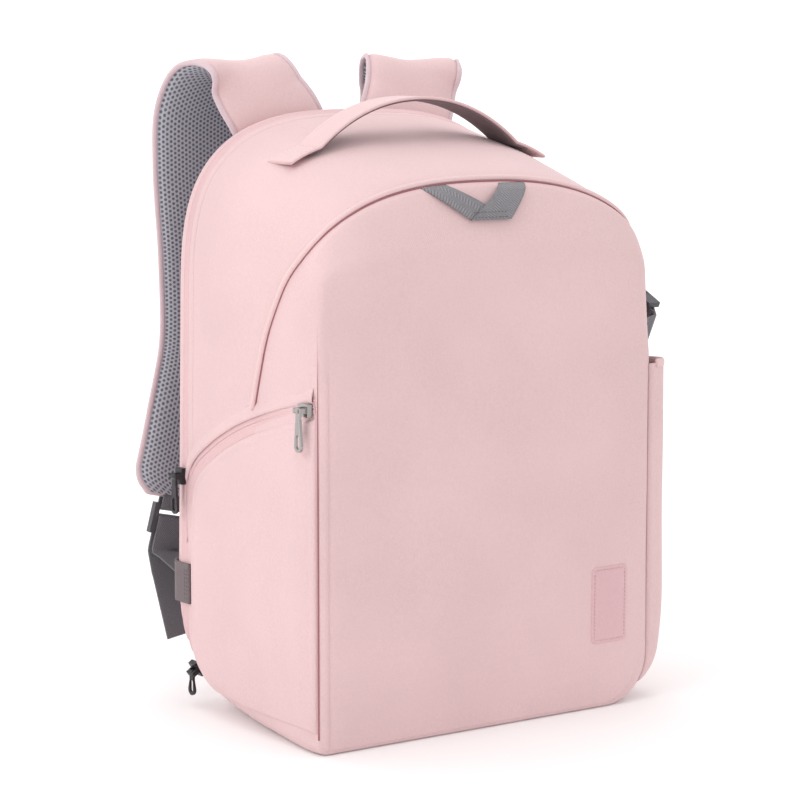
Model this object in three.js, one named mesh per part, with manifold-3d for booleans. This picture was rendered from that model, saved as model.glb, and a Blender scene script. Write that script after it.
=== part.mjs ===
// A camera backpack, closed and standing on its base, in millimetres with +Z up.
// The front panel faces -Y and the wearer's back is at +Y. The origin is on the ground under
// the middle of the bag. One outer form is lofted through upright sections, from front to back.
// The padded compartment, the front pocket and the back lid are cut from it, and the flaps,
// pads and webbing that lie on it are cut from thin skins over it.
import * as THREE from "three";
import { mergeVertices } from "three/addons/utils/BufferGeometryUtils.js";
import Module from "manifold-3d";

const wasm = await Module();
wasm.setup();

// Outer form of the bag
const bagWidth = 300;
const bagHeight = 441;
const frontReach = 95; // front face, ahead of the origin
const backReach = 101; // back face, behind the origin
const backLean = 8; // how far the top of the back face leans forward
const frontEdgeLeft = 3; // upright front edges
const frontEdgeRight = 16;
const backEdgeRadius = 8;
const cornerFrontLeft = 8; // lower corners
const cornerFrontRight = 36;
const cornerBack = 52;

// Walls and clearances
const seamGap = 0.3; // between pieces that are sewn or zipped together
const clothLie = 0.5; // more than the gap, where cloth lies over a curved wall
const shellWall = 8; // padded wall of the camera compartment
const pocketWall = 2.5; // front pocket
const lidDepth = 14; // zipped back lid, front to back
const lidWall = 4;
const lidBackWall = 5;

// Laptop sleeve inside the lid
const sleeveWidth = 236;
const sleeveFoot = 78;
const sleeveTop = 352;
const sleeveDepth = 12;
const sleeveCloth = 1.6;
const sleeveCorner = 20;

// Zip round the back lid
const backZipWidth = 10;
const backZipProud = 1.6;
const backZipFoot = 50; // where its ends stop above the ground

// Access flap on the left side, and its zip
const flapProud = 2.8;
const flapFoot = 15;
const flapSetback = 3; // behind the front face
const flapBack = 76; // rear edge, behind the origin
const flapTopFront = 236;
const flapTopBack = 168;
const sideZipWidth = 13;
const sideZipProud = 1.8;

// Open pocket on the right side
const pocketBulge = 18;
const pocketCloth = 2;
const pocketFoot = 14;
const pocketTop = 256;
const pocketFront = 92; // ahead of the origin
const pocketBack = 72; // behind it

// Top handle
const handleWidth = 31;
const handleThickness = 4;
const handleY = 10;
const handleHalfSpan = 113;
const handleSewn = 26; // sewn length at each end
const handleRise = 26; // free height under the grip

// V of webbing under the arch
const loopWebbing = 24;
const loopHalfSpan = 47;
const loopHalfFoot = 17;
const loopLean = 7; // how far its top is off to the left of its foot
const loopX = -4;
const loopTop = 391.5;
const loopDrop = 25;
const loopProud = 3;
const loopStandOff = 1;

// Plain patch, low on the front panel
const patchWidth = 34;
const patchHeight = 58;
const patchX = 105;
const patchZ = 78;
const patchProud = 1.4;
const patchCorner = 4;

// Webbing tab on the left side
const tabHeight = 30;
const tabLength = 25;
const tabZ = 94;
const tabProud = 4.2;
const tabHold = 8; // how far it reaches in over the side wall

// Corded seam of the arch
const pipingRadius = 2.2;
const pipingFoot = 232; // where it meets the side zip

// Padded shoulder straps
const strapWidth = 80;
const strapThickness = 12;
const strapX = 90; // their middle, behind the bag
const strapReach = 158; // how far behind the origin they arch
const strapCrest = 471;
const strapEnd = 148;
const strapSewn = 392;
const strapRounding = 22; // length over which the free end is rounded

// Webbing and ladder locks under the straps
const webbingWidth = 25;
const webbingThickness = 1.6;
const lockWidth = 35;
const lockBar = 3.5;
const lockPitch = 10;
const lockFrame = 4.6; // cheeks of the lock
const lockThickness = 5;
const lockDrop = 9; // from the end of the strap to the lock's top bar
const footZ = 55; // where the webbing is sewn to the lid
const footX = 108;
const footSewn = 16;
const tailZ = 40;
const tailInward = 10; // how far it has swung in and forward at its end

// Pads against the wearer's back
const padWidth = 98;
const padFoot = 76;
const padTop = 372;
const padX = 59;
const padThickness = 8;
const padCorner = 24;

// Tripod strap on the right side, with a side-release buckle
const tripodAngle = 26; // degrees, rising to the back
const tripodY = 78; // its front seam, ahead of the origin
const tripodZ = 272;
const tripodLength = 160;
const tripodStandOff = 21;
const tripodSewn = 16; // sewn length at its rear end
const buckleWidth = 34;
const buckleThickness = 11;
const buckleWall = 2;
const socketLength = 28;
const plugLength = 15;
const prongLength = 14;
const prongWidth = 6;
const buckleStart = 20; // along the strap from its front seam
const barInset = 3.6; // webbing bars, from the ends of the buckle
const barRadius = 1.5;
const foldBack = 13; // webbing turned back round a bar

// Zip sliders with their pulls
const sliderLength = 12;
const sliderWidth = 9;
const sliderThickness = 4;
const pinRadius = 0.8;
const pinHeight = 3.3; // above the slider
const earThickness = 1.5;
const eyeClearance = 0.4;
const eyeWall = 1.1;
const eyeLength = 5;
const pullLength = 29;
const pullWidth = 9;
const pullNeck = 5;
const pullThickness = 1.8;
const backPullLength = 28;
const footPullLength = 17;
const sideSliderY = 84; // ahead of the origin
const backSliderZ = 174;
const footSliderZ = 30;

// Padded dividers of the camera compartment
const dividerThickness = 10;
const dividerSetback = 5; // from the lid
const uprightX = -34;
const leftShelfZ = 209;
const topShelfZ = 287;
const middleShelfZ = 166;
const lowShelfZ = 71;
const sideDividerX = 110;
const footDividerX = -71;

const unitX = new THREE.Vector3(1, 0, 0);
const unitY = new THREE.Vector3(0, 1, 0);
const unitZ = new THREE.Vector3(0, 0, 1);
const mix = THREE.MathUtils.lerp;
const clamp = THREE.MathUtils.clamp;
const rad = THREE.MathUtils.degToRad;
const beyond = 2 * bagHeight; // reach of a cutting tool past the bag

// A closed geometry as a solid.
function solid(geometry) {
  const bare = new THREE.BufferGeometry().setAttribute(
    "position",
    geometry.getAttribute("position").clone(),
  );
  if (geometry.index) bare.setIndex(geometry.index.clone());
  const merged = mergeVertices(bare, 1e-4);
  return new wasm.Manifold(
    new wasm.Mesh({
      numProp: 3,
      vertProperties: merged.getAttribute("position").array,
      triVerts: new Uint32Array(merged.index.array),
    }),
  );
}

function geometryOf(body) {
  const mesh = body.getMesh();
  return new THREE.BufferGeometry()
    .setAttribute("position", new THREE.BufferAttribute(Float32Array.from(mesh.vertProperties), 3))
    .setIndex(new THREE.BufferAttribute(Uint32Array.from(mesh.triVerts), 1));
}

// A closed skin over rings that have the same number of points. Each end is closed by strips
// between the points that face each other across the ring.
function skin(rings) {
  const count = rings[0].length;
  const at = (ring, point) => ring * count + (point % count);
  const faces = [];
  for (let r = 0; r + 1 < rings.length; r++)
    for (let p = 0; p < count; p++) {
      faces.push([at(r, p), at(r, p + 1), at(r + 1, p + 1)]);
      faces.push([at(r, p), at(r + 1, p + 1), at(r + 1, p)]);
    }
  for (let p = 0; p < count - p - 1; p++) {
    const strip = (r) => [
      [at(r, count - p), at(r, count - p - 1), at(r, p + 1)],
      [at(r, count - p), at(r, p + 1), at(r, p)],
    ];
    const whole = (face) => new Set(face).size === 3;
    faces.push(...strip(0).filter(whole));
    faces.push(...strip(rings.length - 1).filter(whole).map(([a, b, c]) => [a, c, b]));
  }
  const points = rings.flat();
  const volume = faces.reduce(
    (sum, [a, b, c]) => sum + points[a].dot(points[b].clone().cross(points[c])),
    0,
  );
  const index = faces.flatMap(([a, b, c]) => (volume > 0 ? [a, b, c] : [a, c, b]));
  return new THREE.BufferGeometry().setFromPoints(points).setIndex(index);
}

// An outline of [y, z] points, extruded across the bag from x0 to x1.
function acrossX(outline, x0 = -beyond, x1 = beyond) {
  const shape = new THREE.Shape(outline.map(([y, z]) => new THREE.Vector2(y, z)));
  const geometry = new THREE.ExtrudeGeometry(shape, { depth: x1 - x0, bevelEnabled: false });
  geometry.translate(0, 0, x0);
  return solid(geometry.applyMatrix4(new THREE.Matrix4().makeBasis(unitY, unitZ, unitX)));
}

// A shape drawn in x and z, extruded from y0 to y1.
function alongY(shape, y0, y1) {
  const geometry = new THREE.ExtrudeGeometry(shape, {
    depth: y1 - y0,
    bevelEnabled: false,
    curveSegments: 4,
  });
  geometry.translate(0, 0, -y1);
  const turned = new THREE.Matrix4().makeBasis(unitX, unitZ, unitY.clone().negate());
  return solid(geometry.applyMatrix4(turned));
}

function roundedRectangle(x0, x1, z0, z1, radius) {
  const shape = new THREE.Shape();
  shape.moveTo(x0 + radius, z0);
  shape.absarc(x1 - radius, z0 + radius, radius, -Math.PI / 2, 0);
  shape.absarc(x1 - radius, z1 - radius, radius, 0, Math.PI / 2);
  shape.absarc(x0 + radius, z1 - radius, radius, Math.PI / 2, Math.PI);
  shape.absarc(x0 + radius, z0 + radius, radius, Math.PI, 1.5 * Math.PI);
  return shape;
}

function block(x0, x1, y0, y1, z0, z1) {
  const geometry = new THREE.BoxGeometry(x1 - x0, y1 - y0, z1 - z0);
  return solid(geometry.translate((x0 + x1) / 2, (y0 + y1) / 2, (z0 + z1) / 2));
}

// Upright sections of the bag, from front to back. y is a share of the reach on its side of the
// origin. top, and shoulder, the height over which the upper corner turns, are shares of the
// height, and power is the corner's superellipse. foot is the rise of the base as a share of the
// back corner, and turn is how far the lower corners have gone from their front to back radius.
const sections = [
  { y: -1.0, top: 0.796, shoulder: 0.055, power: 2.1, foot: 0, turn: 0 },
  { y: -0.96, top: 0.852, shoulder: 0.105, power: 2.2, foot: 0, turn: 0 },
  { y: -0.89, top: 0.882, shoulder: 0.15, power: 2.3, foot: 0, turn: 0 },
  { y: -0.8, top: 0.9, shoulder: 0.197, power: 2.4, foot: 0, turn: 0 },
  { y: 0.0, top: 0.948, shoulder: 0.24, power: 2.95, foot: 0, turn: 0.3 },
  { y: 0.5, top: 0.975, shoulder: 0.27, power: 2.95, foot: 0, turn: 0.7 },
  { y: 0.65, top: 0.984, shoulder: 0.28, power: 2.9, foot: 0, turn: 0.9 },
  { y: 0.8, top: 0.993, shoulder: 0.29, power: 2.9, foot: 0.16, turn: 1 },
  { y: 0.92, top: 1.0, shoulder: 0.295, power: 2.88, foot: 0.5, turn: 1 },
  { y: 1.0, top: 1.0, shoulder: 0.295, power: 2.88, foot: 0.85, turn: 1 },
];
const leanFrom = 0.243; // height over which the back face leans, as shares of the bag's
const leanTo = 0.787;
const wallStops = [0.243, 0.5]; // heights at which each side wall has points
const cornerSteps = 4;
const shoulderSteps = 9;

function sectionY(row) {
  return row.y * (row.y < 0 ? frontReach : backReach);
}

function sectionAt(y) {
  const after = sections.findIndex((row) => sectionY(row) >= y);
  if (after < 0) return sections[sections.length - 1];
  if (after === 0) return sections[0];
  const [a, b] = [sections[after - 1], sections[after]];
  const share = (y - sectionY(a)) / (sectionY(b) - sectionY(a));
  const names = ["top", "shoulder", "power", "foot", "turn"];
  return Object.fromEntries(names.map((name) => [name, mix(a[name], b[name], share)]));
}

function leanAt(z) {
  return backLean * clamp((z / bagHeight - leanFrom) / (leanTo - leanFrom), 0, 1);
}

// One upper corner at share 0, on the side wall, to 1, on the middle of the top.
function shoulderPoint(row, share, out) {
  const angle = (share * Math.PI) / 2;
  const height = row.shoulder * bagHeight;
  const x = (bagWidth / 2 + out) * Math.cos(angle) ** (2 / row.power);
  const z = row.top * bagHeight - height + (height + out) * Math.sin(angle) ** (2 / row.power);
  return [share === 1 ? 0 : x, z];
}

// How far a rounded edge has pulled in, at a distance from the face that it runs into.
function roll(distance, radius) {
  return radius - Math.sqrt(radius ** 2 - Math.max(radius - distance, 0) ** 2);
}

// The ring of the bag's form at one y, moved out by a distance.
function ringAt(y, outward) {
  const row = sectionAt(y);
  const base = row.foot * cornerBack;
  const toFront = Math.max(y + frontReach + outward, 0);
  const toBack = Math.max(backReach + outward - y, 0);
  const out = outward - roll(toFront, frontEdgeLeft) - roll(toBack, backEdgeRadius);
  const sides = [1, -1].map((side) => {
    const front = side > 0 ? cornerFrontRight : cornerFrontLeft;
    const rounder = side > 0 ? roll(toFront, frontEdgeRight) - roll(toFront, frontEdgeLeft) : 0;
    const half = bagWidth / 2 + out - rounder;
    const radius = Math.max(mix(front, cornerBack, row.turn) + out, 0.5);
    const points = [];
    for (let i = 0; i <= cornerSteps; i++) {
      const angle = ((i / cornerSteps) * Math.PI) / 2;
      const x = half - radius + radius * Math.sin(angle);
      points.push([side * x, base - out + radius - radius * Math.cos(angle)]);
    }
    for (const stop of wallStops) points.push([side * half, stop * bagHeight]);
    for (let i = 0; i < shoulderSteps; i++) {
      const [x, z] = shoulderPoint(row, i / shoulderSteps, out);
      points.push([(side * x * half) / (bagWidth / 2 + out), z]);
    }
    return points;
  });
  const [, peak] = shoulderPoint(row, 1, out);
  const outline = [[0, base - out], ...sides[0], [0, peak], ...sides[1].reverse()];
  const leaning = clamp(y / backReach, 0, 1) ** 2;
  return outline.map(([x, z]) => new THREE.Vector3(x, y - leaning * leanAt(z), z));
}

// The whole form, moved out by a distance, or in if that is negative.
function form(out) {
  const [front, back] = [-frontReach - out, backReach + out];
  const clearOfEdges = (y) => y > front + 1.05 * frontEdgeRight && y < back - 1.2 * backEdgeRadius;
  const stations = [
    ...[0, 0.3, 1].map((share) => front + share * frontEdgeLeft),
    ...[0.35, 0.6, 1].map((share) => front + share * frontEdgeRight),
    ...sections.map(sectionY).filter(clearOfEdges),
    ...[1, 0.3, 0].map((share) => back - share * backEdgeRadius),
  ];
  return solid(skin(stations.map((y) => ringAt(y, out))));
}

// Space behind a curve of [y, z] points that runs upwards.
function behind(curve, shift = 0) {
  const points = curve.map(([y, z]) => [y + shift, z]);
  return acrossX([...points, [beyond, points[points.length - 1][1]], [beyond, points[0][1]]]);
}

// The seam that parts the front pocket from the camera compartment, y as a share of the front
// reach and z of the height, from below the base to above the top.
const partingShares = [
  { y: -0.06, z: -1 },
  { y: -0.06, z: 0.43 },
  { y: -0.095, z: 0.51 },
  { y: -0.17, z: 0.567 },
  { y: -0.284, z: 0.642 },
  { y: -0.37, z: 0.678 },
  { y: -0.58, z: 0.747 },
  { y: -0.75, z: 0.79 },
  { y: -0.82, z: 0.83 },
  { y: -0.82, z: 2 },
];
const parting = partingShares.map(({ y, z }) => [y * frontReach, z * bagHeight]);

// The seam of the back lid, which follows the lean of the back.
const lidY = (z) => backReach - lidDepth - leanAt(z);
const lidSeam = [-1, leanFrom, leanTo, 2].map((share) => [
  lidY(share * bagHeight),
  share * bagHeight,
]);

const outer = form(0);

const frontPocket = outer
  .subtract(behind(parting, -seamGap))
  .subtract(form(-pocketWall));

const compartment = form(-shellWall).intersect(behind(parting, shellWall));
const mainShell = outer
  .intersect(behind(parting))
  .subtract(behind(lidSeam, -seamGap))
  .subtract(compartment);

const lidHollow = form(-lidWall).translate([0, lidWall - lidBackWall, 0]);
const backPanel = outer.intersect(behind(lidSeam)).subtract(lidHollow);

// A layer over the bag's form, between two distances out from it.
function layer(from, to) {
  return form(to).subtract(form(from));
}

// A layer over the front or back face only, its distances measured along y.
function faceLayer(from, to) {
  const [y0, y1] = to < 0 ? [-beyond, 0] : [0, beyond];
  return outer
    .translate([0, to, 0])
    .subtract(outer.translate([0, from, 0]))
    .intersect(block(-beyond, beyond, y0, y1, 0, beyond));
}

const leftSide = block(-beyond, 0, -beyond, beyond, -beyond, beyond);

// Access flap. Its top edge falls towards the back and turns down in a wide corner.
const flapRow = [
  { y: 0, z: 1 },
  { y: 0.17, z: 0.92 },
  { y: 0.44, z: 0.74 },
  { y: 0.62, z: 0.58 },
  { y: 0.8, z: 0.36 },
  { y: 0.93, z: 0.13 },
  { y: 0.985, z: -0.15 },
  { y: 1, z: -0.6 },
];
const flapTop = flapRow.map(({ y, z }) => [
  mix(flapSetback - frontReach, flapBack, y),
  mix(flapTopBack, flapTopFront, z),
]);

// The flap's top edge, moved square to itself.
function flapEdge(distance) {
  return flapTop.map(([y, z], i) => {
    const [y0, z0] = flapTop[Math.max(i - 1, 0)];
    const [y1, z1] = flapTop[Math.min(i + 1, flapTop.length - 1)];
    const length = Math.hypot(y1 - y0, z1 - z0);
    const back = i === 0 ? 0 : (z0 - z1) / length;
    return [y + distance * back, z + (distance * (i === 0 ? 1 : (y1 - y0) / length))];
  });
}

const flapOutline = [
  [flapSetback - frontReach, flapFoot],
  [flapBack, flapFoot],
  ...flapTop.toReversed(),
];
const sideFlap = layer(seamGap, flapProud).intersect(leftSide).intersect(acrossX(flapOutline));

const zipOuterEdge = flapEdge(sideZipWidth + seamGap);
const zipInnerEdge = flapEdge(seamGap);
const zipDrop = 0.24 * bagHeight; // how far the zip runs down behind the flap
const zipBandOutline = [
  ...zipOuterEdge,
  [zipOuterEdge.at(-1)[0], zipOuterEdge.at(-1)[1] - zipDrop],
  [zipInnerEdge.at(-1)[0], zipInnerEdge.at(-1)[1] - zipDrop],
  ...zipInnerEdge.toReversed(),
];
const sideZip = layer(seamGap, sideZipProud)
  .intersect(leftSide)
  .intersect(acrossX(zipBandOutline))
  .subtract(behind(lidSeam, -backZipWidth / 2 - seamGap));

// Zip round the back lid, over its seam, and past the side zip where they run close.
const backZipBand = behind(lidSeam, -backZipWidth / 2)
  .subtract(behind(lidSeam, backZipWidth / 2))
  .intersect(block(-beyond, beyond, -beyond, beyond, backZipFoot, beyond));
const backZip = layer(seamGap, backZipProud).intersect(backZipBand);

const sideTab = layer(backZipProud + seamGap, tabProud)
  .intersect(leftSide)
  .intersect(
    block(
      -beyond,
      beyond,
      backReach - tabLength,
      beyond,
      tabZ - tabHeight / 2,
      tabZ + tabHeight / 2,
    ),
  )
  .intersect(block(-beyond, tabHold - bagWidth / 2, -beyond, beyond, -beyond, beyond));

// Pads, patch and loop lie on the back and front faces.
function backPad(side) {
  const [x0, x1] = [side * padX - padWidth / 2, side * padX + padWidth / 2];
  return faceLayer(seamGap, padThickness).intersect(
    alongY(roundedRectangle(x0, x1, padFoot, padTop, padCorner), 0, beyond),
  );
}

const frontPatch = faceLayer(-seamGap, -patchProud).intersect(
  alongY(
    roundedRectangle(
      patchX - patchWidth / 2,
      patchX + patchWidth / 2,
      patchZ - patchHeight / 2,
      patchZ + patchHeight / 2,
      patchCorner,
    ),
    -beyond,
    0,
  ),
);

const loopInner = loopHalfSpan - loopWebbing;
const loopOutline = new THREE.Shape(
  [
    [-loopHalfSpan - loopLean, 0],
    [-loopHalfFoot, -loopDrop],
    [loopHalfFoot, -loopDrop],
    [loopHalfSpan - loopLean, 0],
    [loopInner - loopLean, 0],
    [0, -loopDrop * 0.58],
    [-loopInner - loopLean, 0],
  ].map(([x, z]) => new THREE.Vector2(loopX + x, loopTop + z)),
);
const topLoop = faceLayer(-loopStandOff, -loopProud).intersect(alongY(loopOutline, -beyond, 0));

// Laptop sleeve, open at the top, against the inside of the lid.
const sleeveHalf = sleeveWidth / 2;
function sleeveSlab(from, to) {
  return lidHollow.translate([0, -from, 0]).subtract(lidHollow.translate([0, -to, 0]));
}
const laptopSleeve = sleeveSlab(seamGap, sleeveDepth)
  .intersect(
    alongY(roundedRectangle(-sleeveHalf, sleeveHalf, sleeveFoot, sleeveTop, sleeveCorner), 0, beyond),
  )
  .subtract(
    sleeveSlab(seamGap + sleeveCloth, sleeveDepth - sleeveCloth).intersect(
      alongY(
        roundedRectangle(
          sleeveCloth - sleeveHalf,
          sleeveHalf - sleeveCloth,
          sleeveFoot + sleeveCloth,
          bagHeight,
          sleeveCorner,
        ),
        0,
        beyond,
      ),
    ),
  );

// Corded seam, carried round the arch on the surface of the form.
function archPoint(side, share, out) {
  let y = sections[3].y * frontReach;
  let place = [0, 0];
  for (let pass = 0; pass < 6; pass++) {
    place = shoulderPoint(sectionAt(y), share, out);
    const next = parting.findIndex(([, z]) => z > place[1]);
    const [[y0, z0], [y1, z1]] = [parting[next - 1], parting[next]];
    y = mix(y0, y1, (place[1] - z0) / (z1 - z0));
  }
  return new THREE.Vector3(side * place[0], y, place[1]);
}
const pipingOut = pipingRadius + seamGap + clothLie;
const wallRun = parting
  .filter(([, z]) => z > pipingFoot && z < archPoint(1, 0, 0).z)
  .map(([y, z]) => new THREE.Vector3(bagWidth / 2 + pipingOut, y, z));
const footRow = parting.findIndex(([, z]) => z > pipingFoot);
const [[footY0, footZ0], [footY1, footZ1]] = [parting[footRow - 1], parting[footRow]];
wallRun.unshift(
  new THREE.Vector3(
    bagWidth / 2 + pipingOut,
    mix(footY0, footY1, (pipingFoot - footZ0) / (footZ1 - footZ0)),
    pipingFoot,
  ),
);
const archShares = [0.12, 0.25, 0.38, 0.5, 0.62, 0.75, 0.88];
const rightRun = [...wallRun, ...archShares.map((share) => archPoint(1, share, pipingOut))];
const leftRun = rightRun.map((point) => point.clone().setX(-point.x)).reverse();
const pipingCurve = new THREE.CatmullRomCurve3(
  [...rightRun, archPoint(1, 1, pipingOut), ...leftRun],
  false,
  "centripetal",
);
const pipingShape = new THREE.Shape().absarc(0, 0, pipingRadius, 0, 2 * Math.PI);
const archPiping = solid(
  new THREE.ExtrudeGeometry(pipingShape, {
    extrudePath: pipingCurve,
    steps: 44,
    curveSegments: 4,
  }),
).subtract(form(seamGap));

// Right side pocket: a sheet whose mouth is open, bulging from the wall with steep edges.
function pocketBulgeAt(y, z) {
  const along = (2 * (y + pocketFront)) / (pocketFront + pocketBack) - 1;
  const up = clamp((z - pocketFoot) / (0.16 * bagHeight), 0, 1);
  const edge = Math.max(1 - Math.abs(along) ** 5, 0) ** 0.2;
  return pocketBulge * edge * (1 - (1 - up) ** 2) ** 0.5;
}
function wallX(y, z, corner = cornerFrontRight, edge = frontEdgeRight) {
  const row = sectionAt(y);
  const radius = mix(corner, cornerBack, row.turn);
  const below = clamp(row.foot * cornerBack + radius - z, 0, radius);
  const height = row.shoulder * bagHeight;
  const above = clamp((z - row.top * bagHeight + height) / height, 0, 1);
  const upper = (1 - above ** row.power) ** (1 / row.power);
  const lower = radius - Math.sqrt(radius ** 2 - below ** 2);
  return (bagWidth / 2) * upper - lower - roll(y + frontReach, edge);
}
const pocketHeights = [0, 0.02, 0.06, 0.14, 0.3, 0.6, 0.86, 0.93, 1];
const pocketColumns = [0, 0.008, 0.03, 0.08, 0.2, 0.4, 0.6, 0.8, 0.92, 0.97, 0.992, 1];
function pocketRing(share) {
  const z = mix(pocketFoot, pocketTop, share);
  const line = (out) =>
    pocketColumns.map((column) => {
      const y = mix(-pocketFront, pocketBack, column);
      return new THREE.Vector3(wallX(y, z) + out + pocketBulgeAt(y, z), y, z);
    });
  return [...line(seamGap + pocketCloth), ...line(seamGap).reverse()];
}
const sidePocket = solid(skin(pocketHeights.map(pocketRing))).subtract(form(seamGap));

// Top handle: a flat band along x, sewn flat on the top at both ends.
function topZ(x, y) {
  const row = sectionAt(y);
  const height = row.shoulder * bagHeight;
  const reach = clamp(Math.abs(x) / (bagWidth / 2), 0, 1);
  return row.top * bagHeight - height + height * (1 - reach ** row.power) ** (1 / row.power);
}
const handleSteps = 24;
function handleRing(step) {
  const x = mix(-handleHalfSpan, handleHalfSpan, step / handleSteps);
  const freeHalf = handleHalfSpan - handleSewn;
  const free = clamp((freeHalf - Math.abs(x)) / freeHalf, 0, 1);
  const rise = handleRise * (1 - (1 - free) ** 2) + seamGap + clothLie;
  const half = handleWidth / 2;
  const place = (dy, up) => new THREE.Vector3(x, handleY + dy, topZ(x, handleY + dy) + rise + up);
  const upper = [place(half, handleThickness), place(-half, handleThickness)];
  return [place(-half, 0), place(half, 0), ...upper];
}
const handleRings = Array.from({ length: handleSteps + 1 }, (_, step) => handleRing(step));
const grabHandle = solid(skin(handleRings)).subtract(form(seamGap));

// A band or pad carried along a path. Each ring lies square to the path, its width as near to
// the given direction as that allows.
function band(path, width, thickness, across, corners = 1) {
  const rings = path.map((point, i) => {
    const ahead = path[Math.min(i + 1, path.length - 1)];
    const tangent = ahead.clone().sub(path[Math.max(i - 1, 0)]).normalize();
    const side = Array.isArray(across) ? across[i] : across;
    const wide = side.clone().addScaledVector(tangent, -side.dot(tangent)).normalize();
    const thick = new THREE.Vector3().crossVectors(tangent, wide);
    const w = Array.isArray(width) ? width[i] : width;
    const h = Array.isArray(thickness) ? thickness[i] : thickness;
    const ring = [];
    for (let c = 0; c < 4; c++)
      for (let k = 0; k < corners; k++) {
        const turn = ((c + (corners > 1 ? k / (corners - 1) : 0.5)) * Math.PI) / 2;
        const round = corners > 1 ? h / 2 : 0;
        const signX = c === 0 || c === 3 ? 1 : -1;
        const signY = c < 2 ? 1 : -1;
        ring.push(
          point
            .clone()
            .addScaledVector(wide, signX * (w / 2 - round) + round * Math.cos(turn))
            .addScaledVector(thick, signY * (h / 2 - round) + round * Math.sin(turn)),
        );
      }
    const unique = ring.filter((p, n) => n === 0 || p.distanceTo(ring[n - 1]) > 1e-3);
    return unique;
  });
  return solid(skin(rings));
}

// Shoulder strap: sewn to the lid, over the top and down behind the bag. x is a share of the
// straps' spacing, y of their reach and z of the height between their end and their crest.
const strapShares = [
  { x: 0.54, y: 0, z: 0, sewn: 1 },
  { x: 0.6, y: 0, z: 0.4, sewn: 1 },
  { x: 0.74, y: 0.1, z: 0.93, sewn: 0 },
  { x: 0.86, y: 0.32, z: 1.0, sewn: 0 },
  { x: 0.97, y: 0.66, z: 0.985, sewn: 0 },
  { x: 1.03, y: 0.9, z: 0.91, sewn: 0 },
  { x: 1.02, y: 1.0, z: 0.78, sewn: 0 },
  { x: 0.98, y: 0.99, z: 0.55, sewn: 0 },
  { x: 1.04, y: 0.84, z: 0.34, sewn: 0 },
  { x: 1.22, y: 0.74, z: 0.17, sewn: 0 },
  { x: 1.36, y: 0.8, z: 0.0, sewn: 0 },
];
function strapPath(side) {
  const start = backReach - backLean + seamGap + clothLie + strapThickness / 2;
  const knots = strapShares.map(({ x, y, z, sewn }) => {
    const low = sewn ? strapSewn : strapEnd;
    return new THREE.Vector3(side * x * strapX, mix(start, strapReach, y), mix(low, strapCrest, z));
  });
  return new THREE.CatmullRomCurve3(knots, false, "centripetal");
}
const strapSteps = 40;
function shoulderStrap(side) {
  const curve = strapPath(side);
  const path = curve.getPoints(strapSteps);
  const lengths = curve.getLengths(strapSteps);
  const ends = path.map((_, i) => {
    const left = lengths[strapSteps] - lengths[i];
    const into = clamp(1 - left / strapRounding, 0, 1);
    return Math.sqrt(Math.max(1 - into ** 2, 0.12));
  });
  const widths = ends.map((share) => strapWidth * mix(0.5, 1, share));
  return band(path, widths, strapThickness, unitX, 3).subtract(form(seamGap));
}

// A point set out from an origin along three axes.
function placed(origin, axes, amounts) {
  const point = origin.clone();
  axes.forEach((axis, i) => point.addScaledVector(axis, amounts[i]));
  return point;
}

function frameMatrix(origin, axes) {
  return new THREE.Matrix4().makeBasis(...axes).setPosition(origin);
}

function turned(body, matrix) {
  return body.transform(matrix.elements);
}

// Half a turn of webbing round a bar, as [along, out] offsets from the bar's middle, with its
// bend on the side that along points away from.
const foldSteps = 6;
function foldRound(reach) {
  return Array.from({ length: foldSteps + 1 }, (_, i) => {
    const angle = ((i / foldSteps) * 2 - 1) * (Math.PI / 2);
    return [-reach * Math.cos(angle), reach * Math.sin(angle)];
  });
}

// Ladder lock under each strap. In its own frame x runs along its bars, y down the strap and z
// away from the bag.
const lockSides = lockWidth / 2 - lockFrame / 2;
const lockLeg = lockBar / 2 + seamGap + webbingThickness / 2;
function strapEndFrame(side) {
  const curve = strapPath(side);
  const down = curve.getTangent(1).normalize();
  const wide = unitX.clone().addScaledVector(down, -unitX.dot(down)).normalize();
  const out = new THREE.Vector3().crossVectors(wide, down);
  return { end: curve.getPoint(1), axes: [wide, down, out] };
}
function strapLock(side) {
  const { end, axes } = strapEndFrame(side);
  const span = 2 * lockPitch;
  const cheeks = [-1, 1].map((edge) =>
    block(
      edge * lockSides - lockFrame / 2,
      edge * lockSides + lockFrame / 2,
      -lockBar / 2,
      span + lockBar / 2,
      -lockThickness / 2,
      lockThickness / 2,
    ),
  );
  const bars = [0, 1, 2].map((n) => {
    const bar = new THREE.CylinderGeometry(lockBar / 2, lockBar / 2, 2 * lockSides, 12);
    return solid(bar.rotateZ(Math.PI / 2).translate(0, n * lockPitch, 0));
  });
  const whole = [...cheeks, ...bars].reduce((sum, piece) => sum.add(piece));
  return turned(whole, frameMatrix(placed(end, axes, [0, lockDrop, 0]), axes));
}

// Short loop that hangs the lock from the strap.
function strapLoop(side) {
  const { end, axes } = strapEndFrame(side);
  const turn = foldRound(lockLeg).map(([along, out]) => [lockDrop - along, out]);
  const legs = [[seamGap, -lockLeg], ...turn, [seamGap, lockLeg]];
  const path = legs.map(([down, out]) => placed(end, axes, [0, down, out]));
  return band(path, webbingWidth, webbingThickness, axes[0]);
}

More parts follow.
